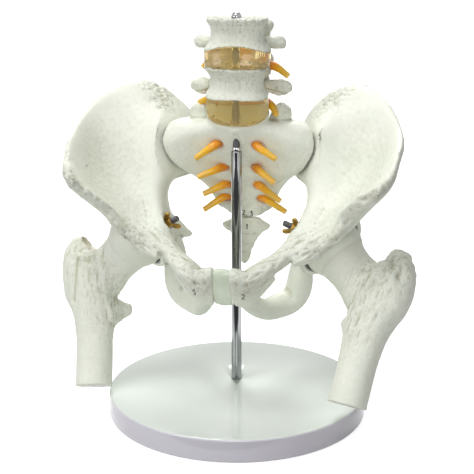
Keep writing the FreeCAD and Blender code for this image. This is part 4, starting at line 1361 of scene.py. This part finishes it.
def dark_cards():
    """Two black cards before the model, on the floor and upright, that only the polished pieces mirror."""
    card, _, shader, _ = blank_material("black_card")
    shader.inputs["Base Color"].default_value = linear("18181A")
    shader.inputs["Roughness"].default_value = 0.9
    for name, corners in CARDS.items():
        made = make_object(name, corners, [(0, 1, 2, 3)], card)
        for ray in ("camera", "diffuse", "shadow", "transmission"):
            setattr(made, "visible_" + ray, False)


def surroundings(world):
    """White where it is seen, and a faint even light on the model."""
    tree = clear_nodes(world)
    ambient = add(tree, "ShaderNodeBackground", {"Color": grey(1.0), "Strength": 0.08}).outputs[0]
    white = add(tree, "ShaderNodeBackground", {"Color": grey(1.0), "Strength": 1.0}).outputs[0]
    both = add(tree, "ShaderNodeMixShader", {0: seen_directly(tree), 1: ambient, 2: white})
    add(tree, "ShaderNodeOutputWorld", {"Surface": both.outputs[0]})


def pale_floor():
    """Painted board: it shows white to the camera and still keeps the object's shadow."""
    material = bpy.data.materials.new("pale_floor")
    tree = clear_nodes(material)
    pale = add(tree, "ShaderNodeBsdfDiffuse", {"Color": linear("F2F2F2")}).outputs[0]
    dull = add(tree, "ShaderNodeBsdfDiffuse", {"Color": linear("A8A8A8")}).outputs[0]
    # Far from the lamps the floor glows more, so that it runs out to white
    place = add(tree, "ShaderNodeTexCoord").outputs["Object"]
    away = add(tree, "ShaderNodeVectorMath", {0: place}, operation="LENGTH").outputs["Value"]
    light = mapped(tree, away, 0.4, 1.6, 0.72, 0.94)
    glow = add(tree, "ShaderNodeEmission", {"Color": grey(1.0), "Strength": light}).outputs[0]
    both = add(tree, "ShaderNodeAddShader", {0: pale, 1: glow}).outputs[0]
    mix = add(tree, "ShaderNodeMixShader", {0: seen_directly(tree), 1: dull, 2: both})
    add(tree, "ShaderNodeOutputMaterial", {"Surface": mix.outputs[0]})
    return material


class PELVIS_OT_stage(bpy.types.Operator):
    """Sets the camera, the lamps, the floor and the white background"""
    bl_idname = "pelvis.stage"
    bl_label = "Stage"

    def execute(self, context):
        photo_camera()
        for name, (place, power) in LAMPS.items():
            soft_lamp(name, place, power)
        context.scene.world = bpy.data.worlds.new("surroundings")
        surroundings(context.scene.world)
        dark_cards()
        reach = FLOOR_REACH
        corners = [(x, y, FLOOR_HEIGHT) for x, y in ((-reach, -reach), (reach, -reach), (reach, reach),
                                                     (-reach, reach))]
        make_object("floor", corners, [(0, 1, 2, 3)], pale_floor())
        context.scene.view_settings.view_transform = "Standard"
        return {"FINISHED"}


class PELVIS_PT_panel(bpy.types.Panel):
    """Shows the settings and the buttons that build the pelvis model"""
    bl_idname = "PELVIS_PT_panel"
    bl_label = "Pelvis model"
    bl_space_type = "VIEW_3D"
    bl_region_type = "UI"
    bl_category = "Pelvis"

    def draw(self, context):
        for settings in (context.scene.pelvis_bones, context.scene.pelvis_soft, context.scene.pelvis_stand):
            for name in settings.__annotations__:
                self.layout.prop(settings, name)
        for operator in OPERATORS:
            self.layout.operator(operator.bl_idname)


OPERATORS = (PELVIS_OT_stage, PELVIS_OT_bones, PELVIS_OT_numbers, PELVIS_OT_discs, PELVIS_OT_nerves,
             PELVIS_OT_base, PELVIS_OT_rod, PELVIS_OT_threads, PELVIS_OT_wing_nuts)
SETTINGS = {"pelvis_bones": BoneSettings, "pelvis_soft": SoftSettings, "pelvis_stand": StandSettings}


def register():
    """Registers the settings, the operators and the panel."""
    for group in SETTINGS.values():
        bpy.utils.register_class(group)
    for operator in OPERATORS:
        bpy.utils.register_class(operator)
    bpy.utils.register_class(PELVIS_PT_panel)
    for name, group in SETTINGS.items():
        setattr(bpy.types.Scene, name, bpy.props.PointerProperty(type=group))


def unregister():
    """Takes away what register added."""
    for name in SETTINGS:
        delattr(bpy.types.Scene, name)
    bpy.utils.unregister_class(PELVIS_PT_panel)
    for operator in reversed(OPERATORS):
        bpy.utils.unregister_class(operator)
    for group in reversed(SETTINGS.values()):
        bpy.utils.unregister_class(group)


def main():
    """Makes everything in order."""
    register()
    bpy.ops.pelvis.stage()
    bpy.ops.pelvis.bones()
    bpy.ops.pelvis.numbers()
    bpy.ops.pelvis.discs()
    bpy.ops.pelvis.nerves()
    bpy.ops.pelvis.base()
    bpy.ops.pelvis.rod()
    bpy.ops.pelvis.threads()
    bpy.ops.pelvis.wing_nuts()


if __name__ == "__main__":
    main()
